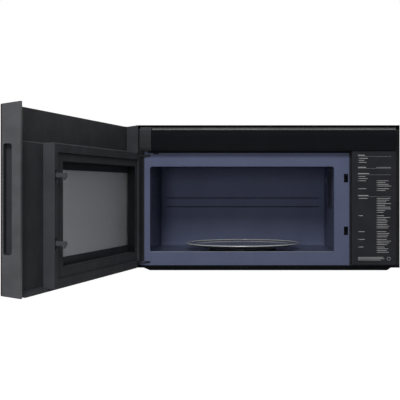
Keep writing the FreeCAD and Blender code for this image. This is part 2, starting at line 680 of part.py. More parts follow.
# ---------------------------------------------------------------- air
def fan_housing():
    x = ("fan_x - fan_frame / 2", "fan_x + fan_frame / 2")
    z = ("fan_height - fan_frame / 2", "fan_height + fan_frame / 2")
    plate = block("fan_plate", x, (FAN_FRONT, FAN_BACK), z)
    through = (FAN_FRONT + " - 1", FAN_BACK + " + 1")
    bore = rod("fan_bore", "Y", through, ("fan_x", "fan_height"), "fan_radius + swing_gap")
    inward = (" + fan_corner + 1", " - fan_corner - 1")
    corners = [
        rod("fan_corner_%d%d" % (a, b), "Y", (FAN_FRONT + " + fan_wall", FAN_BACK + " - fan_wall"),
            (x[a] + inward[a], z[b] + inward[b]), "fan_corner")
        for a in (0, 1) for b in (0, 1)
    ]
    rear = (FAN_BACK + " - fan_wall", FAN_BACK)
    struts = [
        block("fan_strut_a", x, rear, ("fan_height - fan_strut / 2", "fan_height + fan_strut / 2")),
        block("fan_strut_b", ("fan_x - fan_strut / 2", "fan_x + fan_strut / 2"), rear, z),
    ]
    return fuse("fan_housing_whole", cut("fan_frame_cut", plate, bore, *corners), *struts)


def fan_motor():
    back = FAN_BACK + " - fan_wall"
    return fuse(
        "fan_motor_whole",
        rod("fan_motor_can", "Y", (back + " - fan_motor_length", back), ("fan_x", "fan_height"), "fan_hub"),
        rod("fan_motor_shaft", "Y", (FAN_FRONT + " + fan_wall", back), ("fan_x", "fan_height"), "axle_radius"),
    )


def fan_blade():
    front = FAN_FRONT + " + fan_wall / 2"
    back = FAN_BACK + " - fan_wall - fan_motor_length - touch_gap"
    hub = cut(
        "fan_hub_cut",
        rod("fan_hub_solid", "Y", (front, back), ("fan_x", "fan_height"), "fan_hub"),
        rod("fan_hub_bore", "Y", (FAN_FRONT, FAN_BACK), ("fan_x", "fan_height"), "axle_radius + pin_gap"),
    )
    blades = []
    for n in range(int(size("fan_blades"))):
        blade = doc.addObject("Part::Box", "fan_blade_%d" % n)
        blade.setExpression("Length", bound("fan_radius - fan_hub + blade_root"))
        blade.setExpression("Width", bound("steel"))
        blade.setExpression("Height", bound("fan_hub * 1.2"))
        turn = FreeCAD.Rotation(FreeCAD.Vector(0, 1, 0), n * 360 / size("fan_blades"))
        tilt = FreeCAD.Rotation(FreeCAD.Vector(1, 0, 0), size("blade_tilt"))
        reach = turn.multVec(FreeCAD.Vector(size("fan_hub - blade_root"), 0, 0))
        lean = (turn * tilt).multVec(FreeCAD.Vector(0, size("steel") / -2, size("fan_hub") * -0.6))
        blade.Placement = FreeCAD.Placement(FreeCAD.Vector(), turn * tilt)
        place(
            blade, "fan_x + %r" % (reach.x + lean.x), "((%s) + (%s)) / 2 + %r" % (front, back, lean.y),
            "fan_height + %r" % (reach.z + lean.z),
        )
        blades.append(blade)
    return fuse("fan_blade_whole", hub, *blades)


def blower_housing():
    x = ("-blower_half", "blower_half")
    shell = block("blower_solid", x, ("blower_front", "blower_back"), (BLOWER_LOW, "blower_high"))
    hollow = block(
        "blower_hollow", (x[0] + " + steel", x[1] + " - steel"),
        ("blower_front + steel", "blower_back - steel"), (BLOWER_LOW + " + steel", "blower_high - steel"),
    )
    exhaust = block(
        "blower_exhaust", ("-exhaust_half", "exhaust_half"), ("exhaust_front", "exhaust_back"),
        ("blower_high - 2 * steel", "blower_high + 1"),
    )
    inlets = rod(
        "blower_inlets", "X", (x[0] + " - 1", x[1] + " + 1"), (BLOWER_Y, BLOWER_Z), "drum_radius * 0.75",
    )
    collar = block(
        "blower_collar", ("-exhaust_half - steel", "exhaust_half + steel"),
        ("exhaust_front - steel", "exhaust_back + steel"), ("blower_high - steel", "case_top - steel"),
    )
    collar_bore = block(
        "collar_bore", ("-exhaust_half", "exhaust_half"), ("exhaust_front", "exhaust_back"),
        ("blower_high - 2 * steel", "case_top"),
    )
    whole = fuse("blower_shell", cut("blower_shell_cut", shell, hollow), collar)
    return cut("blower_cut", whole, exhaust, inlets, collar_bore)


def blower_motor():
    half = "blower_motor_length / 2"
    can = rod("blower_can", "X", ("-" + half, half), (BLOWER_Y, BLOWER_Z), "blower_motor_radius")
    foot = block(
        "blower_foot", ("-blower_motor_length * 0.4", "blower_motor_length * 0.4"),
        (BLOWER_Y + " - blower_foot / 2", BLOWER_Y + " + blower_foot / 2"),
        (BLOWER_LOW + " + steel", BLOWER_Z),
    )
    through = ("-" + half + " - 1", half + " + 1")
    bore = rod("blower_bore", "X", through, (BLOWER_Y, BLOWER_Z), "shaft_radius + touch_gap")
    return cut("blower_motor_cut", fuse("blower_motor_joined", can, foot), bore)


def drum_parts(side_name, side):
    """A squirrel-cage drum: a hub and disc at the motor end, a ring at the inlet end, blades between."""
    start = "blower_motor_length / 2 + drum_gap"
    end = start + " + drum_length"
    span = (start, end) if side == "" else ("-(%s)" % end, "-(%s)" % start)
    disc_at = (start, start + " + 2 * steel")
    ring_at = (end + " - 2 * steel", end)
    if side:
        disc_at = ("-(%s)" % disc_at[1], "-(%s)" % disc_at[0])
        ring_at = ("-(%s)" % ring_at[1], "-(%s)" % ring_at[0])
    centre = (BLOWER_Y, BLOWER_Z)
    disc = rod(side_name + "_drum_disc", "X", disc_at, centre, "drum_radius")
    hub = rod(
        side_name + "_drum_hub", "X", (disc_at[0] + " - 4 * steel", disc_at[1] + " + 4 * steel"),
        centre, "shaft_radius * 2.5",
    )
    ring = cut(
        side_name + "_drum_ring",
        rod(side_name + "_ring_solid", "X", ring_at, centre, "drum_radius"),
        rod(side_name + "_ring_bore", "X", (ring_at[0] + " - 1", ring_at[1] + " + 1"), centre,
            "drum_radius - drum_blade"),
    )
    blades = []
    for n in range(int(size("drum_blades"))):
        angle = n * 360 / size("drum_blades")
        out_y = size("drum_radius - drum_blade") * math.cos(math.radians(angle))
        out_z = size("drum_radius - drum_blade") * math.sin(math.radians(angle))
        blade = doc.addObject("Part::Box", "%s_drum_blade_%d" % (side_name, n))
        blade.setExpression("Length", bound("drum_length"))
        blade.setExpression("Width", bound("drum_blade"))
        blade.setExpression("Height", bound("steel"))
        turn = FreeCAD.Rotation(FreeCAD.Vector(1, 0, 0), angle)
        blade.Placement = FreeCAD.Placement(FreeCAD.Vector(), turn)
        place(blade, span[0], "%s + %r" % (BLOWER_Y, out_y), "%s + %r" % (BLOWER_Z, out_z))
        blades.append(blade)
    rim = rod(side_name + "_drum_rim", "X", span, centre, "drum_radius")
    kept = common(side_name + "_blades_kept", fuse(side_name + "_blades", *blades), rim)
    bore = rod(side_name + "_drum_bore", "X", (span[0] + " - 20", span[1] + " + 20"), centre, "shaft_radius")
    return cut(side_name + "_drum_whole", fuse(side_name + "_drum_joined", disc, hub, ring, kept), bore)


def blower_shaft():
    end = "blower_motor_length / 2 + drum_length"
    return rod("blower_shaft_rod", "X", ("-(%s)" % end, end), (BLOWER_Y, BLOWER_Z), "shaft_radius")


def charcoal_filter():
    x = ("-charcoal_half", "charcoal_half")
    y = ("charcoal_front", "charcoal_front + charcoal_length")
    z = (BLOWER_LOW, BLOWER_LOW + " + charcoal_height")
    frame = block("charcoal_frame", x, y, z)
    pocket = block(
        "charcoal_pocket", (x[0] + " + filter_bar", x[1] + " - filter_bar"),
        (y[0] + " + filter_bar", y[1] + " - filter_bar"), (z[1] + " - charcoal_height / 3", z[1] + " + 1"),
    )
    return cut("charcoal_cut", frame, pocket)


def cord_bushing():
    return turned(
        "bushing_body",
        [
            ("bushing_bore", "case_top - steel - bushing_depth"),
            ("bushing_radius + bushing_flange", "case_top - steel - bushing_depth"),
            ("bushing_radius + bushing_flange", "case_top - steel"), ("bushing_radius", "case_top - steel"),
            ("bushing_radius", "case_top"), ("bushing_radius + bushing_flange", "case_top"),
            ("bushing_radius + bushing_flange * 0.6", "case_top + bushing_flange"),
            ("bushing_bore", "case_top + bushing_flange"),
        ],
        "cord_right", "cord_back",
    )


# ---------------------------------------------------------------- electrics
def standoffs(stem, axis, span, first, second):
    """Four posts, a margin inside the corners of a board given by its two ranges."""
    return [
        rod("%s_%d%d" % (stem, m, n), axis, span, (a, b), "post_radius")
        for m, a in enumerate((first[0] + " + board_margin", first[1] + " - board_margin"))
        for n, b in enumerate((second[0] + " + board_margin", second[1] + " - board_margin"))
    ]


def power_board():
    """The relay board, on posts behind the control bracket."""
    near = "flange_front + steel + board_post"
    back = near + " + board_thickness"
    x = ("label_left + board_inset", "label_right - board_inset")
    z = ("board_low", "board_low + board_height")
    parts = [block("power_sheet", x, (near, back), z)]
    parts += standoffs("power_post", "Y", ("flange_front + steel", near), x, z)
    for n in range(int(size("relay_count"))):
        left = "%s + relay_start + relay_pitch * %d" % (x[0], n)
        parts.append(block(
            "relay_%d" % n, (left, left + " + relay_width"), (back, back + " + relay_depth"),
            (z[0] + " + relay_low", z[0] + " + relay_low + relay_height"),
        ))
    parts.append(block(
        "board_coil", (x[0] + " + coil_start", x[0] + " + coil_start + coil_width"),
        (back, back + " + coil_depth"), (z[0] + " + coil_low", z[0] + " + coil_low + coil_height"),
    ))
    parts.append(rod(
        "board_can", "Y", (back, back + " + can_depth"), (x[0] + " + can_start", z[0] + " + can_rise"),
        "can_radius",
    ))
    return fuse("power_board_whole", *parts)


def filter_board():
    """The mains filter, on posts under the case top beside the cord entry."""
    right, back = "cord_right + filter_board_width * 0.44", "cord_back - filter_board_length / 3"
    x = (right + " - filter_board_width", right)
    y = (back + " - filter_board_length", back)
    high = "case_top - steel - board_post"
    low = high + " - board_thickness"
    board = block("filter_sheet", x, y, (low, high))
    posts = standoffs("filter_post", "Z", (high, "case_top - steel"), x, y)
    choke = rod(
        "filter_choke", "Z", (low + " - filter_coil_height", low),
        (x[0] + " + filter_board_width / 2", y[0] + " + filter_board_length / 2"), "filter_coil",
    )
    return fuse("filter_board_whole", board, choke, *posts)


def cavity_lamp():
    wall = GUIDE_START
    centre = ("lamp_back", "lamp_height")
    return fuse(
        "lamp_whole",
        rod("lamp_socket", "X", (wall, wall + " + lamp_length"), centre, "lamp_radius * 1.3"),
        rod("lamp_bulb", "X", (wall + " - steel", wall + " + 1"), centre, "lamp_radius * 0.75"),
    )


# ---------------------------------------------------------------- front trim
def arch(inset):
    """Corners of the trim's section, set in by its wall: lower lip, bulged front and rounded top edge."""
    front = "case_front - fascia_depth + (%s)" % inset
    low, high = "fascia_bottom + (%s)" % inset, "fascia_top - (%s)" % inset
    return [
        ("flange_front", low),
        ("case_front - fascia_lip", low),
        (front + " + fascia_slope", low + " + fascia_span * 0.12 - (%s) / 2" % inset),
        (front, "fascia_bottom + fascia_span * 0.38"),
        (front, "fascia_top - fascia_span * 0.35"),
        (front + " + fascia_slope", high + " - fascia_span * 0.15 + (%s) / 2" % inset),
        (front + " + fascia_top_curve", high),
        ("flange_front", high),
    ]


def trim_strip(stem, left, right):
    """A moulded strip, open towards the case, with the fascia's section."""
    inside = (left + " + fascia_wall", right + " - fascia_wall")
    outer = rounded(
        profile(stem + "_outer", "YZ", arch("0"), left, right),
        "trim_round", lambda edge: runs_along(edge, "X") and edge.Vertexes[0].Y < size("case_front") - 8,
    )
    inner = profile(stem + "_inner", "YZ", arch("fascia_wall"), *inside)
    mouth = block(
        stem + "_mouth", inside, ("flange_front - 1", "flange_front + 1"),
        ("fascia_bottom + fascia_wall", "fascia_top - fascia_wall"),
    )
    return outer, [inner, mouth]


def fascia():
    outer, hollow = trim_strip("fascia", "fascia_left", "fascia_right")
    slots = []
    count = int(size("vent_slot_count"))
    for n in range(count):
        middle = "(fascia_left + fascia_right) / 2 + vent_slot_pitch * %r" % (n - (count - 1) / 2)
        slots.append(block(
            "vent_slot_%d" % n, (middle + " - vent_slot_length / 2", middle + " + vent_slot_length / 2"),
            ("case_front - vent_slot_width", "case_front"),
            ("fascia_top - 2 * fascia_wall", "fascia_top + 1"),
        ))
    return cut("fascia_cut", outer, *hollow, *slots)


def hinge_cap():
    outer, hollow = trim_strip("cap", "cap_left", "fascia_left - cap_gap")
    return cut("cap_cut", outer, *hollow)


def label_panel():
    corners = [
        ("label_left", "label_bottom"), ("label_right", "label_bottom"),
        ("label_right", "label_top"), ("label_left", "label_top"),
    ]
    front = "case_front - label_depth"
    outer = rounded(
        profile("label_outer", "XZ", corners, front, "flange_front"),
        "label_corner", lambda edge: runs_along(edge, "Y"),
    )
    hollow = block(
        "label_hollow", ("label_left + label_wall", "label_right - label_wall"),
        (front + " + label_wall", "flange_front + 1"),
        ("label_bottom + label_wall", "label_top - label_wall"),
    )
    return cut("label_cut", outer, hollow)


def control_bracket():
    left = "flange_right + cap_gap"
    plate = block(
        "bracket_plate", (left, RIGHT + " - 2 * steel"), ("flange_front", "flange_front + steel"),
        ("flange_bottom", "flange_top"),
    )
    lip = block(
        "bracket_turn", (RIGHT + " - 2 * steel", RIGHT + " - steel"),
        ("flange_front", "flange_front + bracket_lip"), ("flange_bottom", "flange_top"),
    )
    return fuse("bracket_whole", plate, lip)


# ---------------------------------------------------------------- hinges and latch keeper
def hinge_plate(name):
    """A steel plate that reaches out of its slit to the door's pin, with a leg behind the flange."""
    low = name + "_plate_bottom"
    high = low + " + hinge_sheet"
    back = "flange_front + steel"
    plate = profile(
        name + "_plate", "XY",
        [
            ("slit_left", back + " + hinge_foot"), ("slit_right", back + " + hinge_foot"),
            ("slit_right", "flange_front - 2"), (HINGE_X + " + 2", HINGE_Y + " - boss_radius * 0.75"),
            (HINGE_X + " - 2", HINGE_Y + " + boss_radius * 0.7"), ("slit_left", "flange_front - 2"),
        ],
        low, high,
    )
    boss = rod(name + "_plate_boss", "Z", (low, high), (HINGE_X, HINGE_Y), "boss_radius")
    pin = rod(
        name + "_pin", "Z", (low, high + " + arm_gap + hinge_sheet + pin_reach"), (HINGE_X, HINGE_Y),
        "pin_radius",
    )
    leg = block(name + "_leg", ("slit_left", "slit_right"), (back, back + " + 2 * steel"),
                (low + " - 3 * hinge_sheet", high + " + 4 * hinge_sheet"))
    return fuse(name + "_hinge_whole", plate, boss, pin, leg)


def latch_board():
    """The moulded plate beside the latch slots, with a pin for each switch lever."""
    x = ("latch_board_right - latch_board_sheet", "latch_board_right")
    z = ("lower_slot_bottom - latch_board_below", "upper_slot_bottom + latch_board_above")
    plate = block("latch_plate", x, ("flange_front + steel", "flange_front + latch_board_reach"), z)
    pins = [
        rod("lever_pin_" + name, "X", (x[0], "latch_slot_right - steel"),
            (LEVER_Y, name + "_slot_bottom - 2 * lever_pin"), "lever_pin")
        for name in ("lower", "upper")
    ]
    return fuse("latch_board_whole", plate, *pins)


def interlock_switches():
    bodies = []
    for name in ("lower", "upper"):
        low = name + "_slot_bottom + switch_height / 4"
        front = LEVER_Y + " + 1.5 * lever_ahead"
        bodies.append(block(
            "switch_" + name, ("latch_board_right", "latch_slot_right"), (front, front + " + switch_depth / 2"),
            (low, low + " + switch_height * 0.83"),
        ))
    return group("switches_together", bodies)


def interlock_lever(name):
    """A lever on its pin, pressed back by the hook to work the switch."""
    x = ("latch_board_right + touch_gap", "latch_slot_right - 2 * lever_pin")
    pivot = name + "_slot_bottom - 2 * lever_pin"
    blade = block(
        name + "_lever_blade", x, (LEVER_Y + " - 2 * lever_pin", LEVER_Y),
        (pivot, pivot + " + lever_height"),
    )
    hub = rod(name + "_lever_hub", "X", x, (LEVER_Y, pivot), "lever_pin * 2.5")
    bore = rod(
        name + "_lever_bore", "X", (x[0] + " - 1", x[1] + " + 1"), (LEVER_Y, pivot), "lever_pin + pin_gap",
    )
    return cut(name + "_lever_whole", fuse(name + "_lever_joined", blade, hub), bore)


# ---------------------------------------------------------------- turntable
def glass_tray():
    flat = "tray_radius * 0.86"
    return turned(
        "tray_body",
        [
            ("0", TRAY_LOW), (flat, TRAY_LOW), ("tray_radius - 2", "tray_rim_top - 4"),
            ("tray_radius", "tray_rim_top - 2"), ("tray_radius - 1", "tray_rim_top"),
            ("tray_radius - 5", "tray_rim_top - 1"), (flat + " - 3", TRAY_LOW + " + glass_tray_thickness"),
            ("0", TRAY_LOW + " + glass_tray_thickness"),
        ],
        *TABLE,
    )


def coupler():
    """The motor's output shaft and the three-armed hub that turns the tray."""
    foot = "cavity_floor - table_motor_height + 4"
    hub = turned(
        "coupler_hub",
        [
            ("0", foot), ("shaft_radius", foot),
            ("shaft_radius", "cavity_floor + 2"), ("floor_hole - 1", "cavity_floor + 2"),
            ("floor_hole - 1", TRAY_LOW), ("0", TRAY_LOW),
        ],
        *TABLE,
    )
    arms = []
    for n in range(3):
        arm = doc.addObject("Part::Box", "coupler_arm_%d" % n)
        arm.setExpression("Length", bound("coupler_radius"))
        arm.setExpression("Width", bound("ring_width"))
        arm.setExpression("Height", bound("ring_thickness"))
        around = FreeCAD.Rotation(FreeCAD.Vector(0, 0, 1), 120 * n + 90)
        arm.Placement = FreeCAD.Placement(FreeCAD.Vector(), around)
        turn = math.radians(120 * n + 90)
        place(
            arm, "table_centre + ring_width / 2 * %r" % math.sin(turn),
            "table_ahead - ring_width / 2 * %r" % math.cos(turn), TRAY_LOW + " - ring_thickness",
        )
        arms.append(arm)
    return fuse("coupler_whole", hub, *arms)


def table_motor():
    top = "cavity_floor - steel"
    can = rod("table_motor_can", "Z", (top + " - table_motor_height", top), TABLE, "table_motor_radius")
    bore_z = ("cavity_floor - table_motor_height + 3", top + " + 1")
    bore = rod("table_motor_bore", "Z", bore_z, TABLE, "shaft_radius + touch_gap")
    return cut("table_motor_cut", can, bore)


def roller_ring():
    """The ring under the tray with a stub axle for each roller."""
    outer = "roller_circle - roller_width / 2 - 2"
    middle = "cavity_floor + roller_radius"
    inner = outer + " - ring_width"
    low, high = middle + " - ring_thickness / 2", middle + " + ring_thickness / 2"
    band = turned("ring_band", [(inner, low), (outer, low), (outer, high), (inner, high)], *TABLE)
    axles = []
    for n in range(3):
        axle = doc.addObject("Part::Cylinder", "ring_axle_%d" % n)
        axle.setExpression("Radius", bound("axle_radius"))
        axle.setExpression("Height", bound("roller_width + 6"))
        axle.Placement = FreeCAD.Placement(FreeCAD.Vector(), ring_turn(n) * ALONG["X"])
        reach = ring_turn(n).multVec(FreeCAD.Vector(1, 0, 0))
        start = "(%s - 2)" % outer
        place(
            axle, "table_centre + %r * %s" % (reach.x, start), "table_ahead + %r * %s" % (reach.y, start),
            middle,
        )
        axles.append(axle)
    return fuse("ring_whole", band, *axles)


def ring_turn(n):
    return FreeCAD.Rotation(FreeCAD.Vector(0, 0, 1), 120 * n + 30)


def roller(n):
    solids = []
    for part, radius, start, length in (
        ("tyre", "roller_radius", "roller_circle - roller_width / 2", "roller_width"),
        ("bore", "axle_radius + pin_gap", "roller_circle - roller_width", "2 * roller_width"),
    ):
        piece = doc.addObject("Part::Cylinder", "roller_%s_%d" % (part, n))
        piece.setExpression("Radius", bound(radius))
        piece.setExpression("Height", bound(length))
        piece.Placement = FreeCAD.Placement(FreeCAD.Vector(), ring_turn(n) * ALONG["X"])
        reach = ring_turn(n).multVec(FreeCAD.Vector(1, 0, 0))
        place(
            piece, "table_centre + %r * (%s)" % (reach.x, start), "table_ahead + %r * (%s)" % (reach.y, start),
            "cavity_floor + roller_radius",
        )
        solids.append(piece)
    return cut("roller_cut_%d" % n, *solids)


# ---------------------------------------------------------------- door, drawn closed
def upright_plate(name, left, right, low, high, near, far):
    """A plate of the door between two widths, two heights and two depths."""
    return block(name, (across(left), across(right)), (depth(near), depth(far)), (low, high))


def door_glass():
    corners = [
        (across("0"), FRONT_LOW), (across("door_width"), FRONT_LOW),
        (across("door_width"), FRONT_HIGH), (across("0"), FRONT_HIGH),
    ]
    return rounded(
        profile("glass_sheet", "XZ", corners, depth("0"), depth("glass_thickness")),
        "glass_thickness", lambda edge: runs_along(edge, "Y"),
    )


def taper(name):
    """The door's side outline, lower and shorter at the glass than at the rim."""
    near, far = depth("glass_thickness"), depth("door_depth")
    return profile(
        name, "YZ",
        [(near, FRONT_LOW), (far, "door_low"), (far, "door_high"), (near, FRONT_HIGH)],
        "-case_half_width - 1", "case_half_width + 1",
    )


def free_end_cap():
    """The moulded end with a full-height rim and the finger pocket that opens the door."""
    ell = profile(
        "free_cap_section", "XY",
        [
            (across("cap_start"), depth("glass_thickness")), (across("door_width"), depth("glass_thickness")),
            (across("door_width"), depth("door_depth")),
            (across("door_width - rim_width"), depth("door_depth")),
            (across("door_width - rim_width"), depth("tray_face")), (across("cap_start"), depth("tray_face")),
        ],
        "door_low", "door_high",
    )
    pocket = rounded(
        profile(
            "pocket", "YZ",
            [
                (depth("pocket_front"), "pocket_low"), (depth("pocket_back"), "pocket_low"),
                (depth("pocket_back"), "pocket_high"), (depth("pocket_front"), "pocket_high"),
            ],
            across("door_width - pocket_depth"), across("door_width + 1"),
        ),
        "pocket_round", lambda edge: runs_along(edge, "X"),
    )
    top_step = block(
        "free_cap_step", (across("cap_start - 1"), across("door_width - rim_width")),
        (depth("tray_top_face"), depth("door_depth")), ("tray_step_low", "door_high + 1"),
    )
    return cut("free_cap_cut", common("free_cap_tapered", ell, taper("free_cap_taper")), pocket, top_step)


def hinge_end_cap():
    ell = profile(
        "hinge_cap_section", "XY",
        [
            (across("0"), depth("glass_thickness")), (across("hinge_cap_width"), depth("glass_thickness")),
            (across("hinge_cap_width"), depth("tray_top_face")), (across("end_wall"), depth("tray_top_face")),
            (across("end_wall"), depth("door_depth")), (across("0"), depth("door_depth")),
        ],
        "door_low", "door_high",
    )
    notches = [
        block(
            "end_notch_" + name, (across("-1"), across("end_wall + 1")),
            (depth("door_depth - hinge_ahead - boss_radius - swing_gap"), depth("door_depth + 1")),
            (name + "_plate_bottom - swing_gap",
             name + "_plate_bottom + 2 * hinge_sheet + arm_gap + pin_reach + swing_gap"),
        )
        for name in ("lower", "upper")
    ]
    return cut("hinge_cap_cut", common("hinge_cap_tapered", ell, taper("hinge_cap_taper")), *notches)


def door_tray():
    """The moulded inner cover: a stepped sheet with a lip along its lower edge."""
    wall = " - tray_sheet"
    top = FRONT_HIGH + " + touch_gap"
    section = [
        ("tray_top_face", top), ("tray_top_face", "tray_step_high"), ("tray_face", "tray_step_low"),
        ("tray_face", LIP_TOP), ("door_depth", LIP_TOP), ("door_depth", "door_low"),
        ("glass_thickness", FRONT_LOW), ("glass_thickness", FRONT_LOW + " + tray_sheet"),
        ("tray_face" + wall, "door_low + 2 * tray_sheet"), ("tray_face" + wall, "tray_step_low - 1"),
        ("tray_top_face" + wall, "tray_step_high - 1"), ("tray_top_face" + wall, top + wall),
        ("glass_thickness", top + wall), ("glass_thickness", FRONT_HIGH),
    ]
    bent = profile(
        "tray_section", "YZ", [(depth(t), z) for t, z in section],
        across("hinge_cap_width"), across("cap_start"),
    )
    cove = profile(
        "tray_cove", "YZ",
        [
            (depth("tray_face"), LIP_TOP + " + lip_height"),
            (depth("tray_face + 3"), LIP_TOP + " + lip_height * 0.5"),
            (depth("tray_face + 8"), LIP_TOP + " + lip_height * 0.2"), (depth("door_depth"), LIP_TOP),
            (depth("tray_face"), LIP_TOP),
        ],
        across("choke_right + touch_gap"), across("cap_start"),
    )
    hole = upright_plate("tray_hole", *PANE_X, *PANE_Z, "tray_face - 2 * tray_sheet", "tray_face + 1")
    return cut("tray_cut", fuse("tray_joined", bent, cove), hole)


def door_frame():
    """The steel frame behind the inner cover, with the choke lip standing round the window."""
    plate = upright_plate(
        "frame_plate", "choke_left + frame_inset", "choke_right - frame_inset",
        "choke_low + 2 * steel + 1", "choke_high - 2 * steel - 1", "tray_face", FRAME_FACE,
    )
    window = upright_plate("frame_window", *WINDOW, "tray_face - 1", FRAME_FACE + " + 1")
    x = ("recess_left - lip_margin", "recess_right + lip_margin")
    z = ("recess_low - lip_low_margin", "recess_high + lip_margin")
    lip = upright_plate("lip_outside", *x, *z, "tray_face", "tray_face + lip_reach")
    lip_bore = upright_plate(
        "lip_inside", x[0] + " + steel", x[1] + " - steel", z[0] + " + steel", z[1] + " - steel",
        FRAME_FACE, "tray_face + lip_reach + 1",
    )
    return cut("frame_cut", fuse("frame_joined", plate, cut("lip_cut", lip, lip_bore)), window)


def mesh_screen():
    return upright_plate("mesh_sheet", *WINDOW, "tray_face", "tray_face + mesh_thickness")


def inner_window():
    return upright_plate("pane", *PANE_X, *PANE_Z, FRAME_FACE, PANE_FACE)


def choke_cover():
    """The moulded ring over the choke: stepped face, recessed window, latch slots and hinge notches."""
    corners = [
        (across("choke_left"), "choke_low"), (across("choke_right"), "choke_low"),
        (across("choke_right"), "choke_high"), (across("choke_left"), "choke_high"),
    ]
    outer = rounded(
        profile("choke_outer", "XZ", corners, depth(FRAME_FACE), depth("choke_face")),
        "choke_radius",
        lambda edge: runs_along(edge, "Y") or min(v.Y for v in edge.Vertexes) > size(depth("choke_face")) - 1,
    )
    step = upright_plate("choke_step_cut", "choke_left + choke_border", "choke_right - choke_border",
                         "choke_low + choke_border", "choke_high - choke_border",
                         "choke_face - choke_step", "choke_face + 1")
    recess = upright_plate("choke_recess", "recess_left", "recess_right", "recess_low", "recess_high",
                           "tray_face", "choke_face + 1")
    seat = upright_plate("pane_seat", *PANE_X, *PANE_Z, "tray_face", PANE_FACE)
    channel_top = "choke_face - choke_step - choke_wall"
    channel = cut(
        "choke_channel",
        upright_plate("channel_outside", "choke_left + choke_wall", "choke_right - choke_wall",
                      "choke_low + choke_wall", "choke_high - choke_wall", "tray_face", channel_top),
        upright_plate("channel_inside", PANE_X[0] + " - choke_wall", PANE_X[1] + " + choke_wall",
                      PANE_Z[0] + " - choke_wall", PANE_Z[1] + " + choke_wall", "tray_face - 1", "choke_face"),
    )
    low_notch = ("choke_low", "lower_plate_bottom + 2 * hinge_sheet + arm_gap + swing_gap")
    high_notch = ("choke_high - notch_height", "choke_high")
    fillings, notches, slots = [], [], []
    for name, (low, high), rest in (
        ("lower", low_notch, (low_notch[0] + " + choke_wall", low_notch[1] + " + choke_wall")),
        ("upper", high_notch, (high_notch[0] + " - choke_wall", high_notch[1] + " - choke_wall")),
    ):
        fillings.append(upright_plate(
            "notch_wall_" + name, "choke_left + 1", "notch_right + choke_wall", rest[0], rest[1],
            FRAME_FACE, channel_top + " + 1",
        ))
        notches.append(upright_plate(
            "notch_" + name, "choke_left - 1", "notch_right", low + (" - 1" if name == "lower" else ""),
            high + (" + 1" if name == "upper" else ""), "tray_face", "choke_face + 1",
        ))
        slots.append(upright_plate(
            "cover_slot_" + name, "latch_centre - 6", "latch_centre + 6", name + "_slot_bottom - latch_travel",
            name + "_slot_bottom + latch_slot_height", "choke_face - 12", "choke_face + 1",
        ))
    hollowed = cut("choke_hollowed", outer, step, recess, seat, channel)
    return cut("choke_cover_cut", fuse("choke_filled", hollowed, *fillings), *notches, *slots)


def hinge_arm(name):
    """The door's own arm from the steel frame to the pin."""
    low = name + "_plate_bottom + hinge_sheet + arm_gap"
    high = low + " + hinge_sheet"
    middle = "door_depth - hinge_ahead"
    arm = profile(
        name + "_arm", "XY",
        [
            (across("choke_left + 8"), depth(FRAME_FACE)), (across("notch_right - 6"), depth(FRAME_FACE)),
            (across("notch_right - 6"), depth(FRAME_FACE + " + hinge_sheet")),
            (across("hinge_inset"), depth(middle + " + boss_radius")),
            (across("hinge_inset"), depth(middle + " - boss_radius")),
        ],
        low, high,
    )
    boss = rod(name + "_arm_boss", "Z", (low, high), (HINGE_X, HINGE_Y), "boss_radius")
    bore = rod(
        name + "_arm_bore", "Z", (low + " - 1", high + " + 1"), (HINGE_X, HINGE_Y), "pin_radius + pin_gap",
    )
    return cut(name + "_arm_cut", fuse(name + "_arm_joined", arm, boss), bore)


def latch_bar():
    """The sprung bar inside the choke cover with its two hooks."""
    near = FRAME_FACE + " + touch_gap"
    far = near + " + latch_bar_thickness"
    bar = upright_plate(
        "bar_plate", "latch_centre - latch_bar_width / 2", "latch_centre + latch_bar_width / 2",
        "lower_slot_bottom - 6", "upper_slot_bottom + 34", near, far,
    )
    hooks = []
    for name in ("lower", "upper"):
        neck = "(" + name + "_slot_bottom + hook_nose + 2)"
        tip = "choke_face + hook_reach"
        nose = tip + " - hook_nose_length"
        corners = [
            (near, neck), (nose, neck), (nose, neck + " - hook_nose"), (nose + " + 3", neck + " - hook_nose"),
            (tip, neck + " + 2"), (tip, neck + " + hook_neck - 2"), (tip + " - 3", neck + " + hook_neck"),
            (near, neck + " + hook_neck"),
        ]
        hooks.append(profile(
            name + "_hook", "YZ", [(depth(t), z) for t, z in corners],
            across("latch_centre - hook_thickness / 2"), across("latch_centre + hook_thickness / 2"),
        ))
    return fuse("latch_bar_whole", bar, *hooks)


def touch_foil():
    return upright_plate("foil", "touch_left", "touch_right", "touch_low", "touch_high",
                         "glass_thickness", "glass_thickness + foil_thickness")


def display_module():
    near = "glass_thickness + foil_thickness"
    return upright_plate(
        "display", "touch_left + display_inset", "touch_right - display_inset",
        "display_low", "display_low + display_height", near, near + " + display_depth",
    )


def touch_board():
    near = "glass_thickness + foil_thickness"
    far = near + " + display_depth"
    x = ("touch_left + touch_board_inset", "touch_right - touch_board_inset")
    z = ("touch_low + touch_board_rise", "display_low - touch_board_gap")
    board = upright_plate("touch_sheet", *x, *z, far, far + " + board_thickness")
    posts = standoffs("touch_post", "Y", (depth(near), depth(far)), [across(side) for side in x], z)
    return fuse("touch_board_whole", board, *posts)


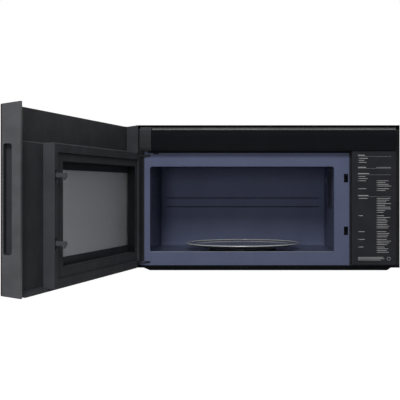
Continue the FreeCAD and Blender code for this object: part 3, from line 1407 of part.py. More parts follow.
# ---------------------------------------------------------------- the assembly
node("outer_case", outer_case())
node("back_plate", back_plate())
node("base_plate", base_plate())
node("base_screws", base_screws())
node("cavity_box", cavity_box())
node("waveguide_cover", waveguide_cover())
node("waveguide", waveguide())
node("magnetron", magnetron())
node("component_shelf", component_shelf())
core, windings = transformer()
node("transformer_core", core)
node("transformer_windings", windings)
node("hv_capacitor", capacitor())
node("hv_diode", diode())
node("power_board", power_board())
node("filter_board", filter_board())
node("cavity_lamp", cavity_lamp())
node("cord_bushing", cord_bushing())
node("cooling_fan_frame", fan_housing())
node("cooling_fan_motor", fan_motor())
node("cooling_fan_blade", fan_blade())
node("vent_blower_housing", blower_housing())
node("vent_blower_motor", blower_motor())
node("vent_blower_shaft", blower_shaft())
node("vent_drum_left", drum_parts("left", "-"))
node("vent_drum_right", drum_parts("right", ""))
node("charcoal_filter", charcoal_filter())
for side_name, side in (("left", "-"), ("right", "")):
    node("grease_filter_" + side_name, grease_filter(side_name, side))
node("cooktop_lenses", group("lenses_together", [lamp_lens("left", "-"), lamp_lens("right", "")]))
node("fascia", fascia())
node("hinge_cap", hinge_cap())
node("label_panel", label_panel())
node("control_bracket", control_bracket())
node("latch_board", latch_board())
node("interlock_switches", interlock_switches())
for name in ("upper", "lower"):
    node("hinge_plate_" + name, hinge_plate(name))
    node("interlock_lever_" + name, interlock_lever(name))
    node("hinge_arm_" + name, hinge_arm(name), swung=True)
node("turntable_motor", table_motor())
node("turntable_coupler", coupler())
node("glass_tray", glass_tray())
node("roller_ring", roller_ring())
for n in range(3):
    node("roller_%d" % (n + 1), roller(n))
node("door_glass", door_glass(), swung=True)
node("door_end_cap", free_end_cap(), swung=True)
node("door_hinge_cap", hinge_end_cap(), swung=True)
node("door_tray", door_tray(), swung=True)
node("door_frame", door_frame(), swung=True)
node("mesh_screen", mesh_screen(), swung=True)
node("inner_window", inner_window(), swung=True)
node("choke_cover", choke_cover(), swung=True)
node("latch_bar", latch_bar(), swung=True)
node("touch_foil", touch_foil(), swung=True)
node("display_module", display_module(), swung=True)
node("touch_board", touch_board(), swung=True)

doc.recompute()
for thing in doc.Objects:
    if {"Invalid", "Error"} & set(thing.State):
        raise RuntimeError("%s failed: %s" % (thing.Name, thing.State))
for piece in nodes:
    if piece.Shape.isNull() or not piece.Shape.isValid():
        raise RuntimeError("%s has no valid shape" % piece.Label)
    piece.Shape.exportStep("parts/%s.step" % piece.Label)
    print(piece.Label, len(piece.Shape.Solids), round(piece.Shape.Volume))
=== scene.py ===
import json
import math

import bmesh
import bpy
from mathutils import Matrix, Vector

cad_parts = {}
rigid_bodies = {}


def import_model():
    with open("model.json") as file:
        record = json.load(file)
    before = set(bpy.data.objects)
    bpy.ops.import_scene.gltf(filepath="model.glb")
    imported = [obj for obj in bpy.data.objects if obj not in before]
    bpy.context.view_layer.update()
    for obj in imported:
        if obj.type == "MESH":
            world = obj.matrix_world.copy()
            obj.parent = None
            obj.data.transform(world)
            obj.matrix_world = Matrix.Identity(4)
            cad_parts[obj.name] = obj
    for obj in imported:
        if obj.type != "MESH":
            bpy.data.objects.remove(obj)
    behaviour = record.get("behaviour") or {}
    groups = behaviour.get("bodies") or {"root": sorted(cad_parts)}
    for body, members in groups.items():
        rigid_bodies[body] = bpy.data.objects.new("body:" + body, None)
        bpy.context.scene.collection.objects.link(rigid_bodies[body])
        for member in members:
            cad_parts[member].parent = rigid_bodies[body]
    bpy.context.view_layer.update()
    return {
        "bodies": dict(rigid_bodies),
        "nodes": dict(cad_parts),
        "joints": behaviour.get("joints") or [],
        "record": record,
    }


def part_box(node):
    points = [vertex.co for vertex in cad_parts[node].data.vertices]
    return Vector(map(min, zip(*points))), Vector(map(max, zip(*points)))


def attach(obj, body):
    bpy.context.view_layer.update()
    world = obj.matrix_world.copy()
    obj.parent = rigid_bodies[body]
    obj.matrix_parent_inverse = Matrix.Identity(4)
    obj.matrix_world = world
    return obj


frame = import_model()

MM = 0.001

# The door is packed wide open. Its own pieces are laid out as if it were shut, then swung to where it rests.
door_joint = next(joint for joint in frame["joints"] if joint["name"] == "door_swing")
hinge_line = Vector(door_joint["pos_m"]) * Vector((1, 1, 0))
door_angle = math.radians(door_joint["range_deg"][1])
DOOR_SWING = (
    Matrix.Translation(hinge_line) @ Matrix.Rotation(-door_angle, 4, "Z") @ Matrix.Translation(-hinge_line)
)
DOOR_SHUT = DOOR_SWING.inverted()


def shut_box(name):
    """Lowest and highest corner of a door node as it lies when the door is shut."""
    points = [DOOR_SHUT @ vertex.co for vertex in frame["nodes"][name].data.vertices]
    low = Vector(min(point[axis] for point in points) for axis in range(3))
    high = Vector(max(point[axis] for point in points) for axis in range(3))
    return low, high


# ---------------------------------------------------------------- shader nodes
def add_node(tree, kind, **settings):
    made = tree.nodes.new(kind)
    for name, value in settings.items():
        setattr(made, name, value)
    return made


def feed(tree, socket, source):
    """Link a socket to a source socket, or give it a plain value."""
    if isinstance(source, bpy.types.NodeSocket):
        tree.links.new(source, socket)
    else:
        socket.default_value = source


def calculate(tree, operation, *values):
    made = add_node(tree, "ShaderNodeMath", operation=operation)
    for socket, value in zip(made.inputs, values):
        feed(tree, socket, value)
    return made.outputs[0]


def vector_math(tree, operation, *values):
    made = add_node(tree, "ShaderNodeVectorMath", operation=operation)
    for socket, value in zip(made.inputs, values):
        feed(tree, socket, value)
    return made.outputs["Value" if operation in ("LENGTH", "DISTANCE", "DOT_PRODUCT") else "Vector"]


def remap(tree, value, low, high, to_low=0.0, to_high=1.0):
    made = add_node(tree, "ShaderNodeMapRange", interpolation_type="SMOOTHSTEP")
    for socket, source in zip(made.inputs, (value, low, high, to_low, to_high)):
        feed(tree, socket, source)
    return made.outputs[0]


def blend_colours(tree, share, first, second, blend_type="MIX"):
    made = add_node(tree, "ShaderNodeMix", data_type="RGBA", blend_type=blend_type)
    feed(tree, made.inputs[0], share)
    feed(tree, made.inputs[6], first)
    feed(tree, made.inputs[7], second)
    return made.outputs[2]


def noise(tree, vector, scale, detail=2.0, roughness=0.5):
    made = add_node(tree, "ShaderNodeTexNoise")
    feed(tree, made.inputs["Vector"], vector)
    feed(tree, made.inputs["Scale"], scale)
    made.inputs["Detail"].default_value = detail
    made.inputs["Roughness"].default_value = roughness
    return made.outputs[0]


def effect_group(name, inputs, outputs):
    """An empty shader group with named sockets. Returns its tree, its inputs and its output node."""
    tree = bpy.data.node_groups.new(name, "ShaderNodeTree")
    for label, kind in inputs:
        tree.interface.new_socket(label, in_out="INPUT", socket_type="NodeSocket" + kind)
    for label, kind in outputs:
        tree.interface.new_socket(label, in_out="OUTPUT", socket_type="NodeSocket" + kind)
    entry = add_node(tree, "NodeGroupInput")
    leave = add_node(tree, "NodeGroupOutput")
    return tree, entry.outputs, leave.inputs


def use_group(tree, group, **values):
    """Place an effect group and set its inputs. Underscores in a keyword stand for spaces."""
    made = add_node(tree, "ShaderNodeGroup", node_tree=group)
    for name, value in values.items():
        feed(tree, made.inputs[name.replace("_", " ").capitalize()], value)
    return made.outputs


def grain_group():
    """The fine leathery grain of moulded plastic and powder coat."""
    tree, given, out = effect_group(
        "surface_grain",
        [("Vector", "Vector"), ("Grains per metre", "Float")],
        [("Height", "Float"), ("Shade", "Float")],
    )
    fine = noise(tree, given["Vector"], given["Grains per metre"], 3.0, 0.6)
    broad = noise(tree, given["Vector"], calculate(tree, "MULTIPLY", given["Grains per metre"], 0.013), 4.0)
    feed(tree, out["Height"], remap(tree, fine, 0.3, 0.7))
    feed(tree, out["Shade"], remap(tree, broad, 0.3, 0.7))
    return tree


def smudge_group():
    """Soft patches where a surface has been wiped and touched."""
    tree, given, out = effect_group(
        "wiped_patches",
        [("Vector", "Vector"), ("Patches per metre", "Float")],
        [("Mask", "Float")],
    )
    stretched = vector_math(tree, "MULTIPLY", given["Vector"], (1.0, 1.0, 0.45))
    patches = noise(tree, stretched, given["Patches per metre"], 5.0, 0.62)
    feed(tree, out["Mask"], remap(tree, patches, 0.38, 0.68))
    return tree


def speck_group():
    """Tiny round specks, such as those fired into oven enamel."""
    tree, given, out = effect_group(
        "fired_specks",
        [("Vector", "Vector"), ("Specks per metre", "Float"), ("Size", "Float")],
        [("Mask", "Float")],
    )
    cells = add_node(tree, "ShaderNodeTexVoronoi", feature="F1")
    feed(tree, cells.inputs["Vector"], given["Vector"])
    feed(tree, cells.inputs["Scale"], given["Specks per metre"])
    spread = calculate(tree, "MULTIPLY", given["Size"], 0.5)
    feed(tree, out["Mask"], remap(tree, cells.outputs["Distance"], spread, given["Size"], 1.0, 0.0))
    return tree


def hole_group():
    """Round holes in staggered rows over the X and Y of a vector: 1 in a hole, 0 on the sheet."""
    tree, given, out = effect_group(
        "staggered_holes",
        [("Vector", "Vector"), ("Pitch", "Float"), ("Radius", "Float")],
        [("Mask", "Float")],
    )
    cell = add_node(tree, "ShaderNodeCombineXYZ")
    feed(tree, cell.inputs[0], given["Pitch"])
    feed(tree, cell.inputs[1], calculate(tree, "MULTIPLY", given["Pitch"], math.sqrt(3)))
    cell.inputs[2].default_value = 1.0
    in_cells = vector_math(tree, "DIVIDE", given["Vector"], cell.outputs[0])
    nearest = None
    for shift in (0.0, 0.5):
        moved = vector_math(tree, "ADD", in_cells, (shift, shift, 0.0))
        part = vector_math(tree, "FRACTION", moved)
        centred = vector_math(tree, "SUBTRACT", part, (0.5, 0.5, 0.0))
        flat = vector_math(tree, "MULTIPLY", centred, (1.0, 1.0, 0.0))
        length = vector_math(tree, "LENGTH", vector_math(tree, "MULTIPLY", flat, cell.outputs[0]))
        nearest = length if nearest is None else calculate(tree, "MINIMUM", nearest, length)
    rim = calculate(tree, "MULTIPLY", given["Radius"], 0.8)
    feed(tree, out["Mask"], remap(tree, nearest, rim, given["Radius"], 1.0, 0.0))
    return tree


GRAIN = grain_group()
SMUDGES = smudge_group()
SPECKS = speck_group()
HOLES = hole_group()


# ---------------------------------------------------------------- materials
def finish(name, colour, roughness, **constants):
    """A material with a plain shader. Returns it with its tree, its shader and Object coordinates."""
    material = bpy.data.materials.new(name)
    material.use_nodes = True
    tree = material.node_tree
    shader = tree.nodes["Principled BSDF"]
    shader.inputs["Base Color"].default_value = (*colour, 1.0)
    shader.inputs["Roughness"].default_value = roughness
    for socket, value in constants.items():
        shader.inputs[socket.replace("_", " ")].default_value = value
    where = add_node(tree, "ShaderNodeTexCoord").outputs["Object"]
    return material, tree, shader, where


def bump(tree, shader, height, depth):
    made = add_node(tree, "ShaderNodeBump")
    made.inputs["Distance"].default_value = depth
    made.inputs["Strength"].default_value = 1.0
    feed(tree, made.inputs["Height"], height)
    feed(tree, shader.inputs["Normal"], made.outputs[0])


def shade_range(colour, darker, lighter):
    dark = tuple(channel * darker for channel in colour) + (1.0,)
    light = tuple(channel * lighter for channel in colour) + (1.0,)
    return dark, light


def patchy_gloss(tree, shader, where, patches, smooth, rough):
    """Let the roughness wander between two values in wiped patches."""
    wiped = use_group(tree, SMUDGES, vector=where, patches_per_metre=patches)
    feed(tree, shader.inputs["Roughness"], remap(tree, wiped["Mask"], 0.0, 1.0, smooth, rough))


def coated(name, colour, roughness, grains, depth, patches=3.0, **constants):
    """Painted or moulded surfaces: a fine grain, slow changes of shade and wiped patches in the gloss."""
    material, tree, shader, where = finish(name, colour, roughness, **constants)
    grain = use_group(tree, GRAIN, vector=where, grains_per_metre=grains)
    patchy_gloss(tree, shader, where, patches, roughness * 0.88, roughness * 1.12)
    dark, light = shade_range(colour, 0.9, 1.1)
    feed(tree, shader.inputs["Base Color"], blend_colours(tree, grain["Shade"], dark, light))
    bump(tree, shader, grain["Height"], depth)
    return material


def enamel():
    """Blue-grey oven enamel with fine pale and dark specks under a glassy skin."""
    colour = (0.078, 0.090, 0.148)
    material, tree, shader, where = finish("oven_enamel", colour, 0.27, Specular_IOR_Level=0.06)
    grain = use_group(tree, GRAIN, vector=where, grains_per_metre=900.0)
    pale = use_group(tree, SPECKS, vector=where, specks_per_metre=420.0, size=0.16)
    shifted = vector_math(tree, "ADD", where, (3.1, 1.7, 0.4))
    dark_specks = use_group(tree, SPECKS, vector=shifted, specks_per_metre=310.0, size=0.2)
    dark, light = shade_range(colour, 0.95, 1.05)
    base = blend_colours(tree, grain["Shade"], dark, light)
    base = blend_colours(tree, pale["Mask"], base, (0.125, 0.142, 0.215, 1.0))
    base = blend_colours(tree, dark_specks["Mask"], base, (0.04, 0.048, 0.09, 1.0))
    feed(tree, shader.inputs["Base Color"], base)
    bump(tree, shader, grain["Height"], 0.00002)
    return material


def metal(name, colour, roughness, brushed):
    """Bare metal with a brushed grain along one axis, given by how the pattern is squeezed."""
    material, tree, shader, where = finish(name, colour, roughness, Metallic=1.0)
    lines = noise(tree, vector_math(tree, "MULTIPLY", where, brushed), 100.0, 4.0, 0.7)
    patchy_gloss(tree, shader, where, 60.0, roughness * 0.8, roughness * 1.2)
    dark, light = shade_range(colour, 0.78, 1.08)
    feed(tree, shader.inputs["Base Color"], blend_colours(tree, lines, dark, light))
    bump(tree, shader, lines, 0.00003)
    return material


def bands(tree, vector, scale, **settings):
    """Even waves in parallel bands."""
    wave = add_node(tree, "ShaderNodeTexWave", wave_type="BANDS", **settings)
    feed(tree, wave.inputs["Vector"], vector)
    wave.inputs["Scale"].default_value = scale
    return wave


def filter_mesh():
    """Layers of crimped aluminium wire in the grease filters, near black between the wire crests as painted
    shade.
    """
    colour = (0.58, 0.59, 0.6)
    material, tree, shader, where = finish("filter_mesh", colour, 0.38, Metallic=1.0)
    wires = None
    for turn in (0.35, -0.35):
        turned = add_node(tree, "ShaderNodeMapping")
        turned.inputs["Rotation"].default_value = (0.0, 0.0, turn)
        feed(tree, turned.inputs["Vector"], where)
        wave = bands(tree, turned.outputs[0], 80.0)
        wave.inputs["Distortion"].default_value = 1.2
        height = wave.outputs["Fac"]
        wires = height if wires is None else calculate(tree, "MAXIMUM", wires, height)
    dark, light = shade_range(colour, 0.12, 1.05)
    crest_shading = remap(tree, wires, 0.35, 0.9)
    feed(tree, shader.inputs["Base Color"], blend_colours(tree, crest_shading, dark, light))
    bump(tree, shader, wires, 0.0008)
    return material


def windings():
    """Enamelled copper wire wound in close layers, darker between the turns as painted shade."""
    colour = (0.42, 0.17, 0.06)
    material, tree, shader, where = finish("wound_copper", colour, 0.3, Metallic=1.0)
    wave = bands(tree, where, 180.0, bands_direction="Z")
    dark, light = shade_range(colour, 0.35, 1.15)
    feed(tree, shader.inputs["Base Color"], blend_colours(tree, wave.outputs["Fac"], dark, light))
    bump(tree, shader, wave.outputs["Fac"], 0.0004)
    return material


def circuit_board():
    """Green solder mask over copper tracks."""
    material, tree, shader, where = finish("circuit_board", (0.03, 0.13, 0.06), 0.35)
    tracks = add_node(tree, "ShaderNodeTexBrick")
    feed(tree, tracks.inputs["Vector"], where)
    tracks.inputs["Scale"].default_value = 70.0
    tracks.inputs["Mortar Size"].default_value = 0.03
    tracks.inputs["Color1"].default_value = (0.03, 0.13, 0.06, 1.0)
    tracks.inputs["Color2"].default_value = (0.024, 0.11, 0.05, 1.0)
    tracks.inputs["Mortar"].default_value = (0.08, 0.22, 0.09, 1.0)
    feed(tree, shader.inputs["Base Color"], tracks.outputs["Color"])
    bump(tree, shader, tracks.outputs["Fac"], 0.00005)
    return material


def mica_sheet():
    """Pressed mica: pale flakes in layers, on a base darker than real mica as painted shade of the dim side
    wall.
    """
    colour = (0.03, 0.033, 0.045)
    material, tree, shader, where = finish("mica_sheet", colour, 0.5)
    flakes = noise(tree, where, 160.0, 6.0, 0.75)
    dark, light = shade_range(colour, 0.7, 1.25)
    feed(tree, shader.inputs["Base Color"], blend_colours(tree, remap(tree, flakes, 0.35, 0.65), dark, light))
    bump(tree, shader, flakes, 0.00006)
    return material


def lens_plastic():
    """Frosted lamp lens with pressed ribs."""
    material, tree, shader, where = finish("frosted_lens", (0.82, 0.84, 0.82), 0.4, Transmission_Weight=0.35)
    ribs = bands(tree, where, 120.0, bands_direction="X")
    bump(tree, shader, ribs.outputs["Fac"], 0.0004)
    return material


def clear_glass(name, tint, roughness, patches, clearness=1.0):
    """Toughened glass. It keeps its tint through its thickness, with faint wiped patches on its skin."""
    material, tree, shader, where = finish(name, tint, roughness, Transmission_Weight=clearness, IOR=1.5)
    patchy_gloss(tree, shader, where, patches, roughness, roughness + 0.04)
    return material


def punched_screen():
    """The thin screen in the window, punched with holes too small for microwaves to leave."""
    material, tree, shader, where = finish("punched_screen", (0.27, 0.272, 0.28), 0.5, Specular_IOR_Level=0.2)
    shut = add_node(tree, "ShaderNodeMapping")
    shut.inputs["Rotation"].default_value = DOOR_SHUT.to_euler()
    shut.inputs["Location"].default_value = DOOR_SHUT.to_translation()
    feed(tree, shut.inputs["Vector"], where)
    upright = add_node(tree, "ShaderNodeSeparateXYZ")
    feed(tree, upright.inputs[0], shut.outputs[0])
    flat = add_node(tree, "ShaderNodeCombineXYZ")
    feed(tree, flat.inputs[0], upright.outputs[0])
    feed(tree, flat.inputs[1], upright.outputs[2])
    holes = use_group(tree, HOLES, vector=flat.outputs[0], pitch=0.0022, radius=0.00085)
    feed(tree, shader.inputs["Alpha"], calculate(tree, "SUBTRACT", 1.0, holes["Mask"]))
    return material


STEEL_BRUSH = (1.0, 1.0, 14.0)
MATERIALS = {
    "case_black": coated(
        "powder_coat", (0.0125, 0.013, 0.0155), 0.42, 1400.0, 0.00004, Specular_IOR_Level=0.15),
    "flange_enamel": enamel(),
    "zinc_steel": metal("zinc_plate", (0.56, 0.57, 0.58), 0.36, STEEL_BRUSH),
    "mica": mica_sheet(),
    "copper": windings(),
    "aluminium": filter_mesh(),
    "inner_plastic": coated("inner_plastic", (0.05, 0.05, 0.054), 0.5, 1200.0, 0.00005),
    "board": circuit_board(),
    "lens": lens_plastic(),
    "fascia_black": coated(
        "fascia_black", (0.004, 0.0043, 0.006), 0.4, 1800.0, 0.000005, Specular_IOR_Level=0.05),
    "label_black": coated(
        "label_black", (0.0175, 0.018, 0.0215), 0.5, 1800.0, 0.00002, Specular_IOR_Level=0.06),
    "door_moulding": coated(
        "door_moulding", (0.036, 0.037, 0.042), 0.55, 1500.0, 0.00004, Specular_IOR_Level=0.01),
    "end_cap_grey": coated(
        "end_cap_grey", (0.058, 0.059, 0.064), 0.45, 2200.0, 0.00002,
        Metallic=0.15, Specular_IOR_Level=0.12),
    "door_glass": clear_glass("door_glass", (0.06, 0.061, 0.063), 0.01, 5.0),
    "pane": clear_glass("window_pane", (0.93, 0.94, 0.95), 0.3, 8.0),
    "mesh": punched_screen(),
    "latch_grey": coated("acetal", (0.04, 0.042, 0.047), 0.45, 900.0, 0.00002, Specular_IOR_Level=0.1),
    "tray_glass": clear_glass("tray_glass", (0.3, 0.305, 0.3), 0.06, 10.0, 0.72),
}

# A few nodes keep their slot but have a shade of their own.
cap_black = coated("cap_black", (0.028, 0.0285, 0.032), 0.55, 700.0, 0.00012, Specular_IOR_Level=0.05)
lever_black = coated("lever_black", (0.009, 0.0095, 0.011), 0.5, 1200.0, 0.00003, Specular_IOR_Level=0.05)
# The base plate gets a darker black than the case: painted shade on its downward-facing front.
base_black = coated("base_black", (0.004, 0.0045, 0.006), 0.5, 1400.0, 0.00004, Specular_IOR_Level=0.03)
OWN_MATERIALS = {
    "hinge_cap": cap_black,
    "hinge_arm_upper": cap_black,
    "hinge_arm_lower": cap_black,
    "base_plate": base_black,
    "interlock_lever_upper": lever_black,
    "interlock_lever_lower": lever_black,
    "interlock_switches": lever_black,
}
for subpart in frame["record"]["subparts"]:
    surface = frame["nodes"][subpart["node"]].data
    surface.materials.clear()
    surface.materials.append(OWN_MATERIALS.get(subpart["node"], MATERIALS[subpart["material_slot"]]))


# ---------------------------------------------------------------- shapes for the added pieces
SMALLEST_RADIUS = 1e-4
NEARLY_ROUND = 0.999  # a corner radius as a share of half the width, just short of a full circle


def round_outline(low, high, radius, steps=6):
    """A rectangle with round corners in a plane, anticlockwise."""
    centres = (
        (high[0] - radius, low[1] + radius), (high[0] - radius, high[1] - radius),
        (low[0] + radius, high[1] - radius), (low[0] + radius, low[1] + radius),
    )
    points = []
    for turn, (across, up) in enumerate(centres):
        for step in range(steps + 1):
            angle = (turn - 1 + step / steps) * math.pi / 2
            points.append((across + radius * math.cos(angle), up + radius * math.sin(angle)))
    return points


def shrink(low, high, by):
    """Move the four sides of a rectangle inwards, or outwards where the step is negative."""
    return (low[0] + by, low[1] + by), (high[0] - by, high[1] - by)


def circle_turns(steps):
    """The angles of a full turn in equal steps."""
    return [math.tau * at / steps for at in range(steps)]


def facing(outline, y):
    """Stand an outline of X and Z upright at one Y."""
    return [(x, y, z) for x, z in outline]


def loft(name, loops, ring=False):
    """Skin equal loops of points one after the other, closed into a ring or capped at both ends."""
    count = len(loops[0])
    pairs = [(at, at + 1) for at in range(len(loops) - 1)] + [(len(loops) - 1, 0)] * ring
    faces = []
    for first, second in pairs:
        start, across = first * count, second * count
        for at in range(count):
            after = (at + 1) % count
            faces.append((start + at, start + after, across + after, across + at))
    if not ring:
        faces += [range(count), range((len(loops) - 1) * count, len(loops) * count)]
    mesh = bpy.data.meshes.new(name)
    mesh.from_pydata([point for loop in loops for point in loop], [], faces)
    shape = bmesh.new()
    shape.from_mesh(mesh)
    bmesh.ops.recalc_face_normals(shape, faces=shape.faces)
    shape.to_mesh(mesh)
    shape.free()
    return mesh


def add_piece(mesh, body, material, on_door=False):
    """Put a mesh in the scene on a body, swung open with the door where it was drawn on the shut door."""
    if on_door:
        mesh.transform(DOOR_SWING)
    if not mesh.materials:
        mesh.materials.append(material)
    thing = bpy.data.objects.new(mesh.name, mesh)
    bpy.context.scene.collection.objects.link(thing)
    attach(thing, body)
    return thing


def plate_mesh(name, low, high, radius, near, far, edge=0.0):
    """A plate facing -Y with round corners and an eased front edge."""
    inner = round_outline(*shrink(low, high, edge), max(radius - edge, SMALLEST_RADIUS))
    outer = round_outline(low, high, radius)
    loops = [facing(inner, near)] * (edge > 0) + [facing(outer, near + edge), facing(outer, far)]
    return loft(name, loops)


def ring_mesh(name, outer, inner, near, far):
    """A flat ring between two outlines, given as low corner, high corner and radius."""
    around, within = round_outline(*outer), round_outline(*inner)
    loops = [facing(around, near), facing(around, far), facing(within, far), facing(within, near)]
    return loft(name, loops, ring=True)


def round_ring(name, centre, radius, width, near, far):
    """A flat round ring about a centre given as X and Z."""
    outer, inner = (
        (*shrink(centre, centre, -reach), reach * NEARLY_ROUND) for reach in (radius, radius - width)
    )
    return ring_mesh(name, outer, inner, near, far)


def bead_mesh(name, low, high, radius, face, proud, width, steps=5):
    """A half-round bead that runs round an opening on a face looking towards -Y."""
    loops = []
    for step in range(steps + 1):
        angle = math.pi * step / steps
        out = width * (1 - math.cos(angle)) / 2
        outline = round_outline(*shrink(low, high, -out), radius + out)
        loops.append(facing(outline, face - proud * math.sin(angle)))
    return loft(name, loops, ring=True)


# ---------------------------------------------------------------- what repeats, by Geometry Nodes
def geometry_tree(name, inputs):
    """An empty tree with named inputs and one geometry output."""
    tree = bpy.data.node_groups.new(name, "GeometryNodeTree")
    for label, kind in inputs:
        tree.interface.new_socket(label, in_out="INPUT", socket_type="NodeSocket" + kind)
    tree.interface.new_socket("Geometry", in_out="OUTPUT", socket_type="NodeSocketGeometry")
    return tree, add_node(tree, "NodeGroupInput").outputs, add_node(tree, "NodeGroupOutput").inputs


def finish_tree(tree, instances, material, output):
    real = add_node(tree, "GeometryNodeRealizeInstances")
    feed(tree, real.inputs[0], instances)
    coat = add_node(tree, "GeometryNodeSetMaterial")
    feed(tree, coat.inputs["Geometry"], real.outputs[0])
    feed(tree, coat.inputs["Material"], material)
    feed(tree, output, coat.outputs[0])


def run_nodes(name, tree, values, base=None):
    """Run a tree on a base mesh with its inputs set, and return the result as a plain mesh."""
    holder = bpy.data.objects.new(name, base or bpy.data.meshes.new(name + "_base"))
    bpy.context.scene.collection.objects.link(holder)
    modifier = holder.modifiers.new(name, "NODES")
    modifier.node_group = tree
    sockets = {item.name: item.identifier for item in tree.interface.items_tree if item.in_out == "INPUT"}
    for label, value in values.items():
        modifier[sockets[label]] = value
    evaluated = holder.evaluated_get(bpy.context.evaluated_depsgraph_get())
    mesh = bpy.data.meshes.new_from_object(evaluated)
    holder.modifiers.remove(modifier)
    bpy.data.objects.remove(holder)
    return mesh


def random_value(tree, low, high, seed):
    made = add_node(tree, "FunctionNodeRandomValue", data_type="FLOAT")
    feed(tree, made.inputs[2], low)
    feed(tree, made.inputs[3], high)
    feed(tree, made.inputs["Seed"], seed)
    return made.outputs[1]


def mark_rows():
    """Rows of printed bars of uneven length, from the first row down."""
    tree, given, output = geometry_tree("mark_rows", (
        ("Rows", "Int"), ("Words", "Int"), ("Row Length", "Float"),
        ("Pitch", "Float"), ("Ink Height", "Float"), ("Ink Depth", "Float"),
        ("Shortest", "Float"), ("Seed", "Int"), ("Ink", "Material"),
    ))
    points = add_node(tree, "GeometryNodeMeshLine")
    feed(tree, points.inputs["Count"], calculate(tree, "MULTIPLY", given["Rows"], given["Words"]))
    feed(tree, points.inputs["Offset"], (0.0, 0.0, 0.0))
    index = add_node(tree, "GeometryNodeInputIndex").outputs[0]
    middle = calculate(tree, "ADD", index, 0.5)
    row = calculate(tree, "FLOOR", calculate(tree, "DIVIDE", middle, given["Words"]))
    word = calculate(tree, "SUBTRACT", index, calculate(tree, "MULTIPLY", row, given["Words"]))
    step = calculate(tree, "DIVIDE", given["Row Length"], given["Words"])
    length = calculate(tree, "MULTIPLY", step, random_value(tree, given["Shortest"], 1.0, given["Seed"]))
    start = calculate(tree, "MULTIPLY", word, step)
    drop = calculate(tree, "MULTIPLY", row, given["Pitch"])
    place = add_node(tree, "ShaderNodeCombineXYZ")
    feed(tree, place.inputs[0], calculate(tree, "ADD", start, calculate(tree, "MULTIPLY", length, 0.5)))
    feed(tree, place.inputs[2], calculate(tree, "MULTIPLY", drop, -1.0))
    placed = add_node(tree, "GeometryNodeSetPosition")
    feed(tree, placed.inputs["Geometry"], points.outputs[0])
    feed(tree, placed.inputs["Position"], place.outputs[0])
    size = add_node(tree, "ShaderNodeCombineXYZ")
    feed(tree, size.inputs[0], length)
    feed(tree, size.inputs[1], given["Ink Depth"])
    feed(tree, size.inputs[2], given["Ink Height"])
    bar = add_node(tree, "GeometryNodeMeshCube")
    feed(tree, bar.inputs["Size"], (1.0, 1.0, 1.0))
    spread = add_node(tree, "GeometryNodeInstanceOnPoints")
    feed(tree, spread.inputs["Points"], placed.outputs[0])
    feed(tree, spread.inputs["Instance"], bar.outputs["Mesh"])
    feed(tree, spread.inputs["Scale"], size.outputs[0])
    finish_tree(tree, spread.outputs[0], given["Ink"], output["Geometry"])
    return tree


def screw_heads():
    """Pan heads on the base mesh's points, each turned to its own angle about the axis they share."""
    tree, given, output = geometry_tree("screw_heads", (
        ("Points", "Geometry"), ("Head", "Object"), ("Radius", "Float"),
        ("Facing", "Vector"), ("Seed", "Int"), ("Finish", "Material"),
    ))
    head = add_node(tree, "GeometryNodeObjectInfo")
    feed(tree, head.inputs["Object"], given["Head"])
    spread = add_node(tree, "GeometryNodeInstanceOnPoints")
    feed(tree, spread.inputs["Points"], given["Points"])
    feed(tree, spread.inputs["Instance"], head.outputs["Geometry"])
    feed(tree, spread.inputs["Rotation"], given["Facing"])
    feed(tree, spread.inputs["Scale"], given["Radius"])
    angle = add_node(tree, "ShaderNodeCombineXYZ")
    feed(tree, angle.inputs[2], random_value(tree, 0.0, math.pi / 2, given["Seed"]))
    turned = add_node(tree, "GeometryNodeRotateInstances")
    feed(tree, turned.inputs["Instances"], spread.outputs[0])
    feed(tree, turned.inputs["Rotation"], angle.outputs[0])
    finish_tree(tree, turned.outputs[0], given["Finish"], output["Geometry"])
    return tree


def screw_head_shape():
    """A pan head of radius 1 that faces +Z, with a sunk cross."""
    turns = circle_turns(24)
    loops = []
    for share, rise in ((1.0, -0.1), (1.0, 0.18), (0.92, 0.34), (0.62, 0.45)):
        loops.append([(share * math.cos(turn), share * math.sin(turn), rise) for turn in turns])
    arm_tip, arm_side, between_arms = 0.5, 0.42, 0.16
    reaches = (arm_tip, arm_side, between_arms, between_arms, between_arms, arm_side)
    cross = []
    for at, turn in enumerate(turns):
        reach = reaches[at % len(reaches)]
        cross.append((reach * math.cos(turn), reach * math.sin(turn)))
    crown, cross_floor, cross_taper = 0.46, 0.12, 0.8
    loops.append([(x, y, crown) for x, y in cross])
    loops.append([(x * cross_taper, y * cross_taper, cross_floor) for x, y in cross])
    return loft("screw_head", loops)


def screws(name, spots, facing, radius, material, seed):
    """A row of screws on plain spots that face one way."""
    base = bpy.data.meshes.new(name + "_spots")
    base.from_pydata(spots, [], [])
    mesh = run_nodes(name, SCREW_HEADS, {
        "Head": SCREW_HEAD, "Radius": radius, "Facing": facing, "Seed": seed, "Finish": material,
    }, base)
    mesh.name = name
    return mesh


MARK_ROWS = mark_rows()
SCREW_HEADS = screw_heads()
SCREW_HEAD = bpy.data.objects.new("screw_head", screw_head_shape())


# ---------------------------------------------------------------- added pieces on the door
DOOR_LEFT = shut_box("door_glass")[0].x
DOOR_FRONT = shut_box("door_glass")[0].y
PANE_LOW, PANE_HIGH = shut_box("inner_window")
PANE_OVERLAP = 6 * MM
RECESS_LOW, RECESS_HIGH = shrink((PANE_LOW.x, PANE_LOW.z), (PANE_HIGH.x, PANE_HIGH.z), PANE_OVERLAP)
CHOKE_LOW, CHOKE_HIGH = shut_box("choke_cover")
CHOKE_BORDER = 21.1 * MM
CHOKE_STEP = 4 * MM
HAIR = 0.15 * MM  # the thickness of print

